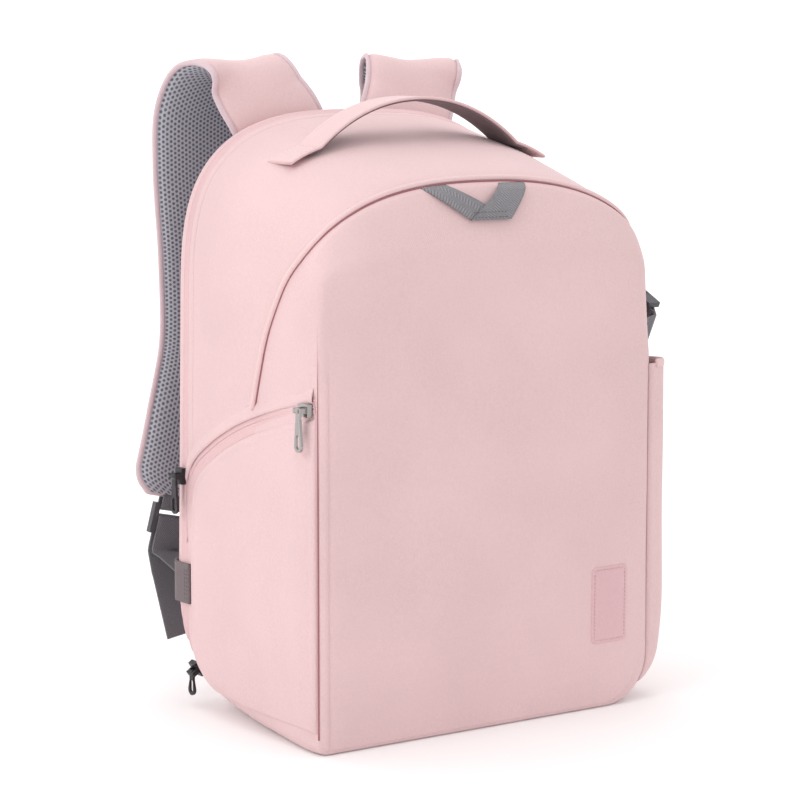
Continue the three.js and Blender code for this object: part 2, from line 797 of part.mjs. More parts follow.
// Webbing from the foot of the lid, up through the lock, round its middle bar and down again
// to a free tail.
function strapWebbing(side) {
  const { end, axes } = strapEndFrame(side);
  const lie = backReach + seamGap + webbingThickness / 2;
  const local = (down, out) => placed(end, axes, [0, down, out]);
  const middle = lockDrop + lockPitch;
  const clear = lockDrop + 2.4 * lockPitch; // below the lock's last bar
  const past = clear + lockPitch;
  const foot = new THREE.Vector3(side * footX, lie, footZ);
  const sewn = new THREE.Vector3(side * footX, lie, footZ + footSewn);
  const inner = local(past, -lockLeg);
  const outer = local(past, lockLeg);
  const tail = new THREE.Vector3(outer.x - side * tailInward, outer.y - tailInward, tailZ);
  const lower = [foot, sewn, sewn.clone().lerp(inner, 0.08), sewn.clone().lerp(inner, 0.5)];
  const inLock = [
    inner,
    local(clear, -lockLeg),
    ...foldRound(lockLeg).map(([along, out]) => local(middle + along, out)),
    local(clear, lockLeg),
    outer,
  ];
  const hanging = [
    outer.clone().lerp(tail, 0.25).add(new THREE.Vector3(0, lockLeg / 2, 0)),
    tail,
  ];
  const runs = [lower, inLock, hanging];
  const across = runs.flatMap((run) => run.map(() => (run === inLock ? axes[0] : unitX)));
  return band(runs.flat(), webbingWidth, webbingThickness, across);
}

// Tripod strap. Its frame runs along the strap, across it, and out from the right wall.
const tripodTurn = rad(tripodAngle);
const tripodOrigin = new THREE.Vector3(bagWidth / 2, -tripodY, tripodZ);
const tripodAxes = [
  new THREE.Vector3(0, Math.cos(tripodTurn), Math.sin(tripodTurn)),
  new THREE.Vector3(0, -Math.sin(tripodTurn), Math.cos(tripodTurn)),
  unitX,
];
const barLeg = barRadius + seamGap + webbingThickness / 2;
const onWall = seamGap + webbingThickness / 2;
const socketBarAt = buckleStart + barInset;
const plugStart = buckleStart + socketLength + seamGap;
const plugEnd = plugStart + plugLength;
const plugBarAt = plugEnd - barInset;

function tripodBand(legs) {
  const path = legs.map(([along, out]) => placed(tripodOrigin, tripodAxes, [along, 0, out]));
  return band(path, webbingWidth, webbingThickness, tripodAxes[1]).subtract(form(seamGap));
}
const tripodRise = [
  { along: 0, out: 0 },
  { along: 0.2, out: 0 },
  { along: 0.4, out: 0.35 },
  { along: 0.55, out: 0.8 },
  { along: 0.75, out: 1.06 },
]; // from its front seam up to the buckle, as shares of the buckle's place and stand-off
const tripodStrapFront = tripodBand([
  ...tripodRise.map(({ along, out }) => [along * buckleStart, out ? out * tripodStandOff : onWall]),
  ...foldRound(barLeg)
    .reverse()
    .map(([along, out]) => [socketBarAt - along, tripodStandOff + out]),
  [socketBarAt - foldBack * 0.6, tripodStandOff - barLeg],
]);
const wallOut = (along) => {
  const point = placed(tripodOrigin, tripodAxes, [along, 0, 0]);
  return wallX(point.y, point.z) - bagWidth / 2 + onWall;
};
const tripodStrapRear = tripodBand([
  [plugBarAt + foldBack, tripodStandOff - barLeg],
  ...foldRound(barLeg).map(([along, out]) => [plugBarAt + along, tripodStandOff + out]),
  [plugBarAt + foldBack * 2, tripodStandOff + barLeg],
  [mix(plugEnd, tripodLength - tripodSewn, 0.6), tripodStandOff * 0.8],
  [tripodLength - 1.4 * tripodSewn, wallOut(tripodLength - tripodSewn) + 0.15 * tripodStandOff],
  [tripodLength - tripodSewn, wallOut(tripodLength - tripodSewn) + clothLie],
  [tripodLength, wallOut(tripodLength) + clothLie],
]);

// Side-release buckle, fastened: a hollow socket with a window at each side, and a plug with
// two prongs in it.
const halfBuckle = buckleWidth / 2;
const halfThick = buckleThickness / 2;
const webbingSpace = webbingWidth / 2 + seamGap;
function barAcross(at) {
  const bar = new THREE.CylinderGeometry(barRadius, barRadius, 2 * webbingSpace + 2, 10);
  return solid(bar.translate(at, 0, 0));
}
function tripodPiece(body) {
  const origin = placed(tripodOrigin, tripodAxes, [0, 0, tripodStandOff]);
  return turned(body, frameMatrix(origin, tripodAxes));
}
const barSpace = 2 * barInset + 0.6;
const socketEnd = buckleStart + socketLength;
const buckleSocket = tripodPiece(
  block(buckleStart, socketEnd, -halfBuckle, halfBuckle, -halfThick, halfThick)
    .subtract(
      block(buckleStart - 1, buckleStart + barSpace, -webbingSpace, webbingSpace, -beyond, beyond),
    )
    .add(barAcross(socketBarAt))
    .subtract(
      block(
        buckleStart + barSpace + buckleWall,
        socketEnd + 1,
        buckleWall - halfBuckle,
        halfBuckle - buckleWall,
        buckleWall - halfThick,
        halfThick - buckleWall,
      ),
    )
    .subtract(
      block(
        socketEnd - prongLength,
        socketEnd - prongLength * 0.35,
        -beyond,
        beyond,
        buckleWall - halfThick,
        halfThick - buckleWall,
      ),
    ),
);
const prongHalfThick = halfThick - buckleWall - seamGap;
const bucklePlug = tripodPiece(
  [-1, 1]
    .map((side) => {
      const outside = side * (halfBuckle - buckleWall - seamGap);
      const inside = outside - side * prongWidth;
      return block(
        plugStart - prongLength,
        plugStart + 1,
        Math.min(inside, outside),
        Math.max(inside, outside),
        -prongHalfThick,
        prongHalfThick,
      );
    })
    .reduce(
      (sum, prong) => sum.add(prong),
      block(plugStart, plugEnd, 1 - halfBuckle, halfBuckle - 1, 1 - halfThick, halfThick - 1)
        .subtract(
          block(plugEnd - barSpace, plugEnd + 1, -webbingSpace, webbingSpace, -beyond, beyond),
        )
        .add(barAcross(plugBarAt)),
    ),
);

// Zip slider with two ears and a pin. In its own frame it sits on the plane x = 0 with its back
// to the bag, and its pin runs along y.
const pinOut = sliderThickness + pinHeight;
const earAt = eyeLength / 2 + eyeClearance + earThickness / 2;
function cylinderAlongY(radius, length, sides) {
  return new THREE.CylinderGeometry(radius, radius, length, sides);
}
function slider(alongY) {
  const [lengthY, lengthZ] = alongY ? [sliderLength, sliderWidth] : [sliderWidth, sliderLength];
  const ears = [-1, 1].map((side) =>
    block(
      -pinOut - pinRadius - eyeWall,
      -sliderThickness / 2,
      side * earAt - earThickness / 2,
      side * earAt + earThickness / 2,
      -pinRadius - eyeWall,
      pinRadius + eyeWall,
    ),
  );
  return ears
    .reduce(
      (sum, ear) => sum.add(ear),
      block(-sliderThickness, 0, -lengthY / 2, lengthY / 2, -lengthZ / 2, lengthZ / 2),
    )
    .add(solid(cylinderAlongY(pinRadius, 2 * earAt, 8).translate(-pinOut, 0, 0)));
}

// Pull that hangs from the pin: an eye round it, and a tapered plate with a slot at its foot.
function pull(length) {
  const eyeRadius = pinRadius + eyeClearance + eyeWall;
  const plate = new THREE.Shape();
  const [neck, foot] = [pullNeck / 2, pullWidth / 2];
  plate.moveTo(-neck, 0);
  plate.lineTo(-neck, -2.5 * eyeRadius);
  plate.lineTo(-foot, foot - length);
  plate.absarc(0, foot - length, foot, Math.PI, 2 * Math.PI);
  plate.lineTo(neck, -2.5 * eyeRadius);
  plate.lineTo(neck, 0);
  const slot = new THREE.Path();
  const slotHalf = foot * 0.5;
  slot.absarc(0, foot - length, slotHalf, Math.PI, 2 * Math.PI);
  slot.absarc(0, foot * 2.2 - length, slotHalf, 0, Math.PI);
  plate.holes.push(slot);
  const geometry = new THREE.ExtrudeGeometry(plate, {
    depth: pullThickness,
    bevelEnabled: false,
    curveSegments: 4,
  });
  geometry.translate(0, 0, -pullThickness / 2);
  const flat = solid(geometry.applyMatrix4(new THREE.Matrix4().makeBasis(unitY, unitZ, unitX)));
  return flat
    .add(solid(cylinderAlongY(eyeRadius, eyeLength, 12)))
    .subtract(solid(cylinderAlongY(pinRadius + eyeClearance, 2 * eyeLength, 10)));
}

// Where each slider sits: a point on the left wall and the angle its face looks down by.
function onLeftWall(y, z, proud) {
  return new THREE.Vector3(-wallX(y, z, cornerFrontLeft, frontEdgeLeft) - proud - seamGap, y, z);
}
const sideZipMiddle = flapEdge(seamGap + sideZipWidth / 2);
const sideSliderRow = sideZipMiddle.findIndex(([y]) => y > -sideSliderY);
const [[sy0, sz0], [sy1, sz1]] = [sideZipMiddle[sideSliderRow - 1], sideZipMiddle[sideSliderRow]];
const sideSliderZ = mix(sz0, sz1, (-sideSliderY - sy0) / (sy1 - sy0));
const zipFootY = flapBack + seamGap + sliderWidth / 2;
const footCorner = sectionAt(zipFootY).foot * cornerBack + cornerBack;
const footSlope = Math.asin(clamp((footCorner - footSliderZ) / cornerBack, 0, 1));
const sliders = {
  side: {
    at: onLeftWall(-sideSliderY, sideSliderZ, sideZipProud),
    down: 0,
    alongY: true,
    length: pullLength,
  },
  back: {
    at: onLeftWall(lidY(backSliderZ), backSliderZ, backZipProud),
    down: 0,
    alongY: false,
    length: backPullLength,
  },
  foot: {
    at: onLeftWall(zipFootY, footSliderZ, sideZipProud),
    down: footSlope,
    alongY: false,
    length: footPullLength,
  },
};
// The sliders' backs are cut to the curve of the zips that they run on.
const clearOfZips = form(Math.max(sideZipProud, backZipProud) + seamGap);
const sliderBodies = Object.entries(sliders).flatMap(([name, { at, down, alongY, length }]) => {
  const turn = new THREE.Matrix4().makeRotationY(-down).setPosition(at);
  const pin = new THREE.Vector3(-pinOut, 0, 0).applyMatrix4(turn);
  return [
    [`${name}_slider`, turned(slider(alongY), turn).subtract(clearOfZips)],
    [`${name}_pull`, pull(length).translate([pin.x, pin.y, pin.z])],
  ];
});

// Padded dividers, trimmed to the inside of the compartment.
const insideHalf = bagWidth / 2;
const halfDivider = dividerThickness / 2;
const dividerSpace = form(-shellWall - seamGap)
  .intersect(behind(parting, shellWall + seamGap + clothLie))
  .subtract(behind(lidSeam, -dividerSetback));
const shelf = (x0, x1, z) =>
  block(x0, x1, -beyond, beyond, z - halfDivider, z + halfDivider).intersect(dividerSpace);
const upright = (x, z0, z1) =>
  block(x - halfDivider, x + halfDivider, -beyond, beyond, z0, z1).intersect(dividerSpace);
const above = (z) => z + halfDivider + seamGap;
const below = (z) => z - halfDivider - seamGap;
const uprightRight = uprightX + halfDivider + seamGap;
const dividers = {
  divider_upright: upright(uprightX, above(leftShelfZ), bagHeight),
  divider_shelf_left: shelf(-insideHalf, uprightX + halfDivider, leftShelfZ),
  divider_stub: upright(uprightX, above(middleShelfZ), below(leftShelfZ)),
  divider_shelf_top: shelf(uprightRight, insideHalf, topShelfZ),
  divider_shelf_middle: shelf(uprightX - halfDivider, insideHalf, middleShelfZ),
  divider_side: upright(sideDividerX, above(lowShelfZ), below(middleShelfZ)),
  divider_shelf_low: shelf(footDividerX - halfDivider, insideHalf, lowShelfZ),
  divider_foot: upright(footDividerX, 0, below(lowShelfZ)),
};

const both = (name, make) => [
  [`${name}_left`, make(-1)],
  [`${name}_right`, make(1)],
];
const shapes = {
  main_shell: mainShell,
  front_pocket: frontPocket,
  arch_piping: archPiping,
  back_panel: backPanel,
  back_zip: backZip,
  laptop_sleeve: laptopSleeve,
  side_flap_left: sideFlap,
  side_zip_left: sideZip,
  side_pocket_right: sidePocket,
  front_patch: frontPatch,
  top_loop: topLoop,
  side_tab: sideTab,
  grab_handle: grabHandle,
  tripod_strap_front: tripodStrapFront,
  tripod_strap_rear: tripodStrapRear,
  tripod_buckle_socket: buckleSocket,
  tripod_buckle_plug: bucklePlug,
  ...Object.fromEntries(both("back_pad", backPad)),
  ...Object.fromEntries(both("shoulder_strap", shoulderStrap)),
  ...Object.fromEntries(both("strap_lock", strapLock)),
  ...Object.fromEntries(both("strap_loop", strapLoop)),
  ...Object.fromEntries(both("strap_webbing", strapWebbing)),
  ...Object.fromEntries(sliderBodies),
  ...dividers,
};

const finish = (color, roughness, metalness = 0) =>
  new THREE.MeshStandardMaterial({ color, roughness, metalness });
const finishes = {
  cloth: () => finish("#e6c8ca", 0.85),
  webbing: () => finish("#85848a", 0.8),
  mesh: () => finish("#b9b9be", 0.9),
  plastic: () => finish("#4b484d", 0.45),
  metal: () => finish("#b8b8bb", 0.3, 1),
  felt: () => finish("#8f9aa8", 0.95),
};
const finishOf = (name) => {
  if (/^(divider|laptop)/.test(name)) return "felt";
  if (/^back_pad/.test(name)) return "mesh";
  if (/^(side_slider|side_pull)/.test(name)) return "metal";
  if (/(buckle|lock|slider|pull)/.test(name)) return "plastic";
  if (/(webbing|strap_loop|tripod|top_loop|side_tab|back_zip)/.test(name)) return "webbing";
  return "cloth";
};

const group = new THREE.Group();
for (const [name, body] of Object.entries(shapes)) {
  const mesh = new THREE.Mesh(geometryOf(body), finishes[finishOf(name)]());
  mesh.name = name;
  group.add(mesh);
}

export default group;
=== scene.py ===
# A pale pink camera backpack, closed and standing on its base, seen from its front left.
import math

import bmesh
import bpy
import numpy as np
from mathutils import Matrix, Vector


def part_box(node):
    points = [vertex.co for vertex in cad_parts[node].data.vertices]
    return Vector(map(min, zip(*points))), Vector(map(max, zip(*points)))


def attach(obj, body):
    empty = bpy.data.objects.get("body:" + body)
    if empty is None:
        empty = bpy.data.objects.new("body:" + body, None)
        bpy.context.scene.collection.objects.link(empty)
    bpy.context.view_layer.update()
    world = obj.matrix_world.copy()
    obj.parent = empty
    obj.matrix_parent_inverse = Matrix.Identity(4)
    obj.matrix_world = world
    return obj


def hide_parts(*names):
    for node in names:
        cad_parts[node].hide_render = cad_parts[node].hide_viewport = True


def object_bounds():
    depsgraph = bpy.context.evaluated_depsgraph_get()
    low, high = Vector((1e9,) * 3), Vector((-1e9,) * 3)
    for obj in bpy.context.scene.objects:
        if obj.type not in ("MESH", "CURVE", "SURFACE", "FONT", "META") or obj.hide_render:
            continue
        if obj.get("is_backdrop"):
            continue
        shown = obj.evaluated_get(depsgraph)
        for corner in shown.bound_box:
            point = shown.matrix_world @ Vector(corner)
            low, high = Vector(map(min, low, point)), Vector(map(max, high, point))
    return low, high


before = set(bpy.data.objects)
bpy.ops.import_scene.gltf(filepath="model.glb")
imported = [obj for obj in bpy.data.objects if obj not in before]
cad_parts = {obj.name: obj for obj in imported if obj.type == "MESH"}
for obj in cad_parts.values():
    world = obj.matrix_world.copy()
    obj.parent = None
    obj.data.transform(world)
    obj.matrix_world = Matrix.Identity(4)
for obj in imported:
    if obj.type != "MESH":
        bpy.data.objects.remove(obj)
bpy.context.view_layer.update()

MM = 0.001

# Camera: 35 degrees to the left of the front and 7 above it, from two metres, with a long lens.
# The aim is the middle of the bag, a little to its left.
aim = Vector((-0.0162, 0.0, 0.229))
camera_azimuth, camera_elevation = math.radians(-34.98), math.radians(7.44)
camera_distance = 1.98567
camera_back = Vector((
    math.sin(camera_azimuth) * math.cos(camera_elevation),
    -math.cos(camera_azimuth) * math.cos(camera_elevation),
    math.sin(camera_elevation),
))
camera = bpy.data.objects.new("camera", bpy.data.cameras.new("camera"))
camera.data.sensor_width = 36
camera.data.lens = 121.2
camera.location = aim + camera_back * camera_distance
camera.rotation_euler = (-camera_back).to_track_quat("-Z", "Y").to_euler()
bpy.context.scene.collection.objects.link(camera)
bpy.context.scene.camera = camera


# Studio: white paper that runs up behind the bag and is lit from behind there, a broad softbox
# from the left, a weak one from the front and one overhead, under a nearly white sky.
def linear(hex_colour):
    """sRGB hex to linear RGBA: c / 12.92 below 0.04045, else ((c + 0.055) / 1.055) ** 2.4."""
    parts = [int(hex_colour[i:i + 2], 16) / 255 for i in (1, 3, 5)]
    lin = [c / 12.92 if c <= 0.04045 else ((c + 0.055) / 1.055) ** 2.4 for c in parts]
    return (*lin, 1.0)


def toned(hex_colour, factor):
    """The colour's linear RGBA with its light times the factor, up to white."""
    return tuple(min(c * factor, 1.0) for c in linear(hex_colour)[:3]) + (1.0,)


def add_node(tree, kind, links=(), **settings):
    """A node of that kind. Settings are properties, or inputs when they are named i0, i1 and so
    on or in_ and the socket's name. Links are (source socket, input)."""
    node = tree.nodes.new(kind)
    for key, value in settings.items():
        if key[0] == "i" and key[1:].isdigit():
            node.inputs[int(key[1:])].default_value = value
        elif key.startswith("in_"):
            node.inputs[key[3:].replace("_", " ")].default_value = value
        else:
            setattr(node, key, value)
    for source, target in links:
        tree.links.new(source, node.inputs[target])
    return node


def blank_material(name):
    """A material with its Principled shader alone, as (material, tree, shader)."""
    material = bpy.data.materials.new(name)
    material.use_nodes = True
    tree = material.node_tree
    return material, tree, tree.nodes["Principled BSDF"]


studio_paper, paper_tree, paper = blank_material("studio_paper")
paper.inputs["Base Color"].default_value = linear("#f7f5f5")
paper.inputs["Roughness"].default_value = 0.9
paper.inputs["Emission Color"].default_value = linear("#fffdfd")
paper_place = add_node(paper_tree, "ShaderNodeTexCoord")
paper_axes = add_node(paper_tree, "ShaderNodeSeparateXYZ", [(paper_place.outputs["Object"], 0)])
paper_glow = add_node(paper_tree, "ShaderNodeMapRange", [(paper_axes.outputs[1], 0)],
                      i1=0.2, i2=3.2, i3=0.03, i4=0.3)
paper_tree.links.new(paper_glow.outputs[0], paper.inputs["Emission Strength"])
sweep_turn = np.linspace(0, math.pi / 2, 24)
sweep_y = np.concatenate([[-8.0], 3.0 + 2 * np.sin(sweep_turn), [5.0]])
sweep_z = np.concatenate([[0.0], 2 * (1 - np.cos(sweep_turn)), [7.0]]) - 0.0004
sweep = [(x, y, z) for x in (-9.0, 9.0) for y, z in zip(sweep_y, sweep_z)]
rows = len(sweep_y)
floor_mesh = bpy.data.meshes.new("floor")
floor_mesh.from_pydata(sweep, [], [(i, i + rows, i + rows + 1, i + 1) for i in range(rows - 1)])
floor_mesh.polygons.foreach_set("use_smooth", [True] * (rows - 1))
floor_mesh.materials.append(studio_paper)
floor = bpy.data.objects.new("floor", floor_mesh)
bpy.context.scene.collection.objects.link(floor)
floor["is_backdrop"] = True

world = bpy.data.worlds.new("sky")
world.use_nodes = True
world.node_tree.nodes["Background"].inputs["Color"].default_value = linear("#fdfcfc")
world.node_tree.nodes["Background"].inputs["Strength"].default_value = 0.98
bpy.context.scene.world = world
bpy.context.scene.view_settings.view_transform = "Standard"

for name, place, size, power in (
    ("key", (-3.0, -0.3, 1.9), 1.8, 24),
    ("fill", (0.2, -2.8, 1.3), 2.2, 2),
    ("overhead", (0.1, 0.4, 2.7), 2.0, 15),
):
    light = bpy.data.objects.new(name, bpy.data.lights.new(name, "AREA"))
    light.data.size = size
    light.data.energy = power
    light.location = place
    light.rotation_euler = (Vector((0, 0, 0.22)) - light.location).to_track_quat("-Z", "Y").to_euler()
    bpy.context.scene.collection.objects.link(light)


# Form of the bag: one padded body that is sewn from front panel, gussets and back lid. Sizes
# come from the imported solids, in millimetres, and the shares of the section table are the
# shares that the solids were lofted by.
half_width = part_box("main_shell")[1].x / MM
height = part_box("back_panel")[1].z / MM
front_reach = -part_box("front_pocket")[0].y / MM
back_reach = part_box("back_panel")[1].y / MM
back_lean = 8
lean_from, lean_to = 0.243, 0.787
edge_left, edge_right, edge_back = 3, 16, 8
corner_left, corner_right, corner_back = 8, 36, 52
lid_depth = 14
# Each row: share of the reach, top, shoulder, the superellipse's power, foot and turn.
section_rows = np.array([
    (-1.0, 0.796, 0.055, 2.1, 0, 0),
    (-0.96, 0.852, 0.105, 2.2, 0, 0),
    (-0.89, 0.882, 0.15, 2.3, 0, 0),
    (-0.8, 0.9, 0.197, 2.4, 0, 0),
    (0.0, 0.948, 0.24, 2.95, 0, 0.3),
    (0.5, 0.975, 0.27, 2.95, 0, 0.7),
    (0.65, 0.984, 0.28, 2.9, 0, 0.9),
    (0.8, 0.993, 0.29, 2.9, 0.16, 1),
    (0.92, 1.0, 0.295, 2.88, 0.5, 1),
    (1.0, 1.0, 0.295, 2.88, 0.85, 1),
])
section_y = section_rows[:, 0] * np.where(section_rows[:, 0] < 0, front_reach, back_reach)


def run_along(points):
    """Length of a line of points up to each of them, from 0."""
    return np.concatenate([[0], np.cumsum(np.linalg.norm(np.diff(points, axis=0), axis=1))])


def section(column, y):
    """A column of the section table at y, eased: the mean of the straight-line reading at five
    places within 8 mm, or within half the distance to the front or back face."""
    near = np.minimum(np.clip(y + front_reach, 0, None), np.clip(back_reach - y, 0, None))
    spread = np.minimum(8, near / 2)
    taps = [np.interp(y + k * spread, section_y, section_rows[:, column]) for k in (-1, -0.5, 0, 0.5, 1)]
    return sum(taps) / 5


def roll(distance, radius):
    """How far a rounded edge has pulled in: r - sqrt(r^2 - (r - d)^2), and 0 past r."""
    return radius - np.sqrt(radius**2 - np.clip(radius - distance, 0, radius) ** 2)


def lean(z):
    """How far the back face has leaned forward at a height."""
    return back_lean * np.clip((z / height - lean_from) / (lean_to - lean_from), 0, 1)


base_share, corner_share, wall_share = 0.17, 0.25, 0.62


def bag_form(t, y, out=0.0):
    """Point of the form. t goes round an upright section, 0 at the middle of the base and 1 or
    -1 at the middle of the top, by the right or the left side: a straight base, a quarter
    circle, a straight wall, then the superellipse x = w cos(a)^(2/p), z = h sin(a)^(2/p)."""
    t, y, out = np.broadcast_arrays(*(np.asarray(v, float) for v in (t, y, out)))
    share, right = np.abs(t), t > 0
    top, shoulder, power, foot, turn = (section(k, y) for k in range(1, 6))
    to_front = np.clip(y + front_reach + out, 0, None)
    inset = out - roll(to_front, edge_left) - roll(np.clip(back_reach + out - y, 0, None), edge_back)
    rounder = roll(to_front, edge_right) - roll(to_front, edge_left)
    half = half_width + inset - np.where(right, rounder, 0)
    corner = np.where(right, corner_right, corner_left)
    radius = np.clip(corner + (corner_back - corner) * turn + inset, 0.5, None)
    base = foot * corner_back - inset
    wall_top = (top - shoulder) * height
    along = np.clip(share / base_share, 0, 1)
    bend = np.clip((share - base_share) / (corner_share - base_share), 0, 1) * math.pi / 2
    up = np.clip((share - corner_share) / (wall_share - corner_share), 0, 1)
    over = np.clip((share - wall_share) / (1 - wall_share), 0, 1) * math.pi / 2
    x = along * (half - radius) + radius * np.sin(bend)
    z = base + radius * (1 - np.cos(bend)) + up * (wall_top - base - radius)
    x = np.where(share > wall_share, half * np.clip(np.cos(over), 0, 1) ** (2 / power), x)
    z = np.where(share > wall_share, wall_top + (shoulder * height + inset) * np.sin(over) ** (2 / power), z)
    x = np.where(share > 0.99999, 0, x)
    back = np.clip(y / back_reach, 0, 1) ** 2
    return np.stack([np.where(right, x, -x), y - back * lean(z), z], -1)


arch_shares = np.array([
    (-1, -0.06), (0.43, -0.06), (0.51, -0.095), (0.567, -0.17), (0.642, -0.284),
    (0.678, -0.37), (0.747, -0.58), (0.79, -0.75), (0.83, -0.82), (2, -0.82),
])


def arch_y(z):
    """The seam between front pocket and padded body: y at a height, straight between the chosen
    shares, eased over 16 mm."""
    taps = [np.interp(z / height + k, arch_shares[:, 0], arch_shares[:, 1]) for k in (-0.018, 0, 0.018)]
    return front_reach * sum(taps) / 3


def lid_y(z):
    """The seam between padded body and lid: y at a height."""
    return back_reach - lid_depth - lean(z)


def meet(t, seam):
    """For each t the y at which the form reaches a seam, by halving the range 26 times."""
    low, high = np.full(t.shape, -front_reach), np.full(t.shape, back_reach)
    for _ in range(26):
        middle = (low + high) / 2
        place = bag_form(t, middle)
        short = place[..., 1] < seam(place[..., 2])
        low, high = np.where(short, middle, low), np.where(short, high, middle)
    return (low + high) / 2


def ripple(point, seed, size, amount):
    """Soft unevenness: the mean of six plane waves of nearly one length in fixed directions."""
    random = np.random.default_rng(seed)
    total = 0
    for _ in range(6):
        direction = random.normal(size=3)
        direction /= np.linalg.norm(direction) * size * random.uniform(0.8, 1.4)
        total = total + np.sin(2 * math.pi * (point @ direction) + random.uniform(0, 2 * math.pi))
    return total * amount / 6


def grids_to_piece(name, grids, material, merge=0.02):
    """One mesh from grids of (points, uv) in millimetres, with rows and columns as quads. The
    grids are joined where their points meet, and a sheet's faces turned away from the middle of
    the bag. A list holds a material for each grid."""
    points, uvs, faces, start = [], [], [], 0
    materials = material if isinstance(material, list) else [material]
    slots = []
    for place, uv in grids:
        rows, columns = place.shape[:2]
        index = start + np.arange(rows * columns).reshape(rows, columns)
        quads = np.stack([index[:-1, :-1], index[:-1, 1:], index[1:, 1:], index[1:, :-1]], -1)
        points.append(place.reshape(-1, 3))
        uvs.append(uv.reshape(-1, 2))
        faces.append(quads.reshape(-1, 4))
        slots.append(np.full(len(faces[-1]), min(len(slots), len(materials) - 1)))
        start += rows * columns
    points, uvs, faces = np.concatenate(points), np.concatenate(uvs), np.concatenate(faces)
    mesh = bpy.data.meshes.new(name)
    mesh.from_pydata((points * MM).tolist(), [], faces.tolist())
    layer = mesh.uv_layers.new(name="cloth")
    loops = np.empty(len(mesh.loops), int)
    mesh.loops.foreach_get("vertex_index", loops)
    layer.data.foreach_set("uv", (uvs[loops] * MM).astype(np.float32).ravel())
    for cloth in materials:
        mesh.materials.append(cloth)
    mesh.polygons.foreach_set("material_index", np.concatenate(slots).astype(np.int32))
    work = bmesh.new()
    work.from_mesh(mesh)
    bmesh.ops.remove_doubles(work, verts=work.verts, dist=merge * MM)
    bmesh.ops.dissolve_degenerate(work, edges=work.edges, dist=1e-6)
    bmesh.ops.recalc_face_normals(work, faces=work.faces)
    if any(edge.is_boundary for edge in work.edges):
        middle = Vector((0, 0, height / 2)) * MM
        facing = sum(f.calc_area() * f.normal.dot(f.calc_center_median() - middle) for f in work.faces)
        if facing < 0:
            bmesh.ops.reverse_faces(work, faces=work.faces)
    work.to_mesh(mesh)
    work.free()
    mesh.polygons.foreach_set("use_smooth", np.ones(len(mesh.polygons), bool))
    piece = bpy.data.objects.new(name, mesh)
    bpy.context.scene.collection.objects.link(piece)
    return piece


def fit(piece, stands_for=None):
    """Put a piece on the bag's body, and hide the solid that it stands for."""
    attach(piece, "bag")
    if stands_for:
        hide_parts(stands_for)


# Cloth of the outside: closely woven coated polyester in pale pink, matt with a soft bloom. The
# thread is about 0.4 mm and is drawn at 0.8 mm, because the real one is too fine to show.
def coated_cloth(name, hex_colour, thread=0.8, shade=0.9, bloom=0.18):
    """Woven cloth: height = sin(u) sin(v) on the piece's own UV in metres, one half wave for
    each thread. Colour drifts by a tenth over 90 mm and speckles over 1.5 mm."""
    material, tree, shader = blank_material(name)
    place = add_node(tree, "ShaderNodeTexCoord")
    drift = add_node(tree, "ShaderNodeTexNoise", [(place.outputs["Object"], 0)], in_Scale=11, in_Detail=2)
    speckle = add_node(tree, "ShaderNodeTexNoise", [(place.outputs["Object"], 0)], in_Scale=650, in_Detail=3)
    both = add_node(tree, "ShaderNodeMath", [(drift.outputs[0], 0), (speckle.outputs[0], 1)],
                    operation="ADD")
    share = add_node(tree, "ShaderNodeMapRange", [(both.outputs[0], 0)], i1=0.7, i2=1.3)
    mixed = add_node(tree, "ShaderNodeMix", [(share.outputs[0], 0)], data_type="RGBA",
                     i6=toned(hex_colour, shade), i7=linear(hex_colour))
    tree.links.new(mixed.outputs[2], shader.inputs["Base Color"])
    uv = add_node(tree, "ShaderNodeUVMap", uv_map="cloth")
    across = add_node(tree, "ShaderNodeSeparateXYZ", [(uv.outputs[0], 0)])
    waves = []
    for axis in (0, 1):
        turns = add_node(tree, "ShaderNodeMath", [(across.outputs[axis], 0)],
                         operation="MULTIPLY", i1=math.pi / (thread * MM))
        waves.append(add_node(tree, "ShaderNodeMath", [(turns.outputs[0], 0)], operation="SINE"))
    weave = add_node(tree, "ShaderNodeMath", [(waves[0].outputs[0], 0), (waves[1].outputs[0], 1)],
                     operation="MULTIPLY")
    relief = add_node(tree, "ShaderNodeMath", [(weave.outputs[0], 0), (speckle.outputs[0], 1)],
                      operation="ADD")
    bump = add_node(tree, "ShaderNodeBump", [(relief.outputs[0], "Height")],
                    in_Strength=0.22, in_Distance=0.12 * MM)
    tree.links.new(bump.outputs[0], shader.inputs["Normal"])
    shader.inputs["Roughness"].default_value = 0.72
    shader.inputs["Specular IOR Level"].default_value = 0.3
    shader.inputs["Sheen Weight"].default_value = bloom
    shader.inputs["Sheen Roughness"].default_value = 0.45
    return material


pink_polyester = coated_cloth("pink_polyester", "#dfc0c1")
pink_piping = coated_cloth("pink_piping_cloth", "#e4c6c6", thread=0.6)


# Front pocket: the arched front panel and its gusset, back to the corded seam. Thinly padded
# pink polyester. Down the left edge the panel is sewn to the gusset in a sharp welted seam.
up = np.linspace(base_share, 1, 4001)
up_length = run_along(bag_form(up, 0.0))
cloth_step = 3.2
up = np.interp(np.linspace(0, up_length[-1], round(up_length[-1] / cloth_step) + 1), up_length, up)
around = np.concatenate([-up[::-1], np.linspace(-base_share, base_share, 90)[1:-1], up])
around_length = np.interp(np.abs(around), up, np.linspace(0, up_length[-1], len(up))) * np.sign(around)
arch_seam = meet(around, arch_y)
lid_seam = meet(around, lid_y)


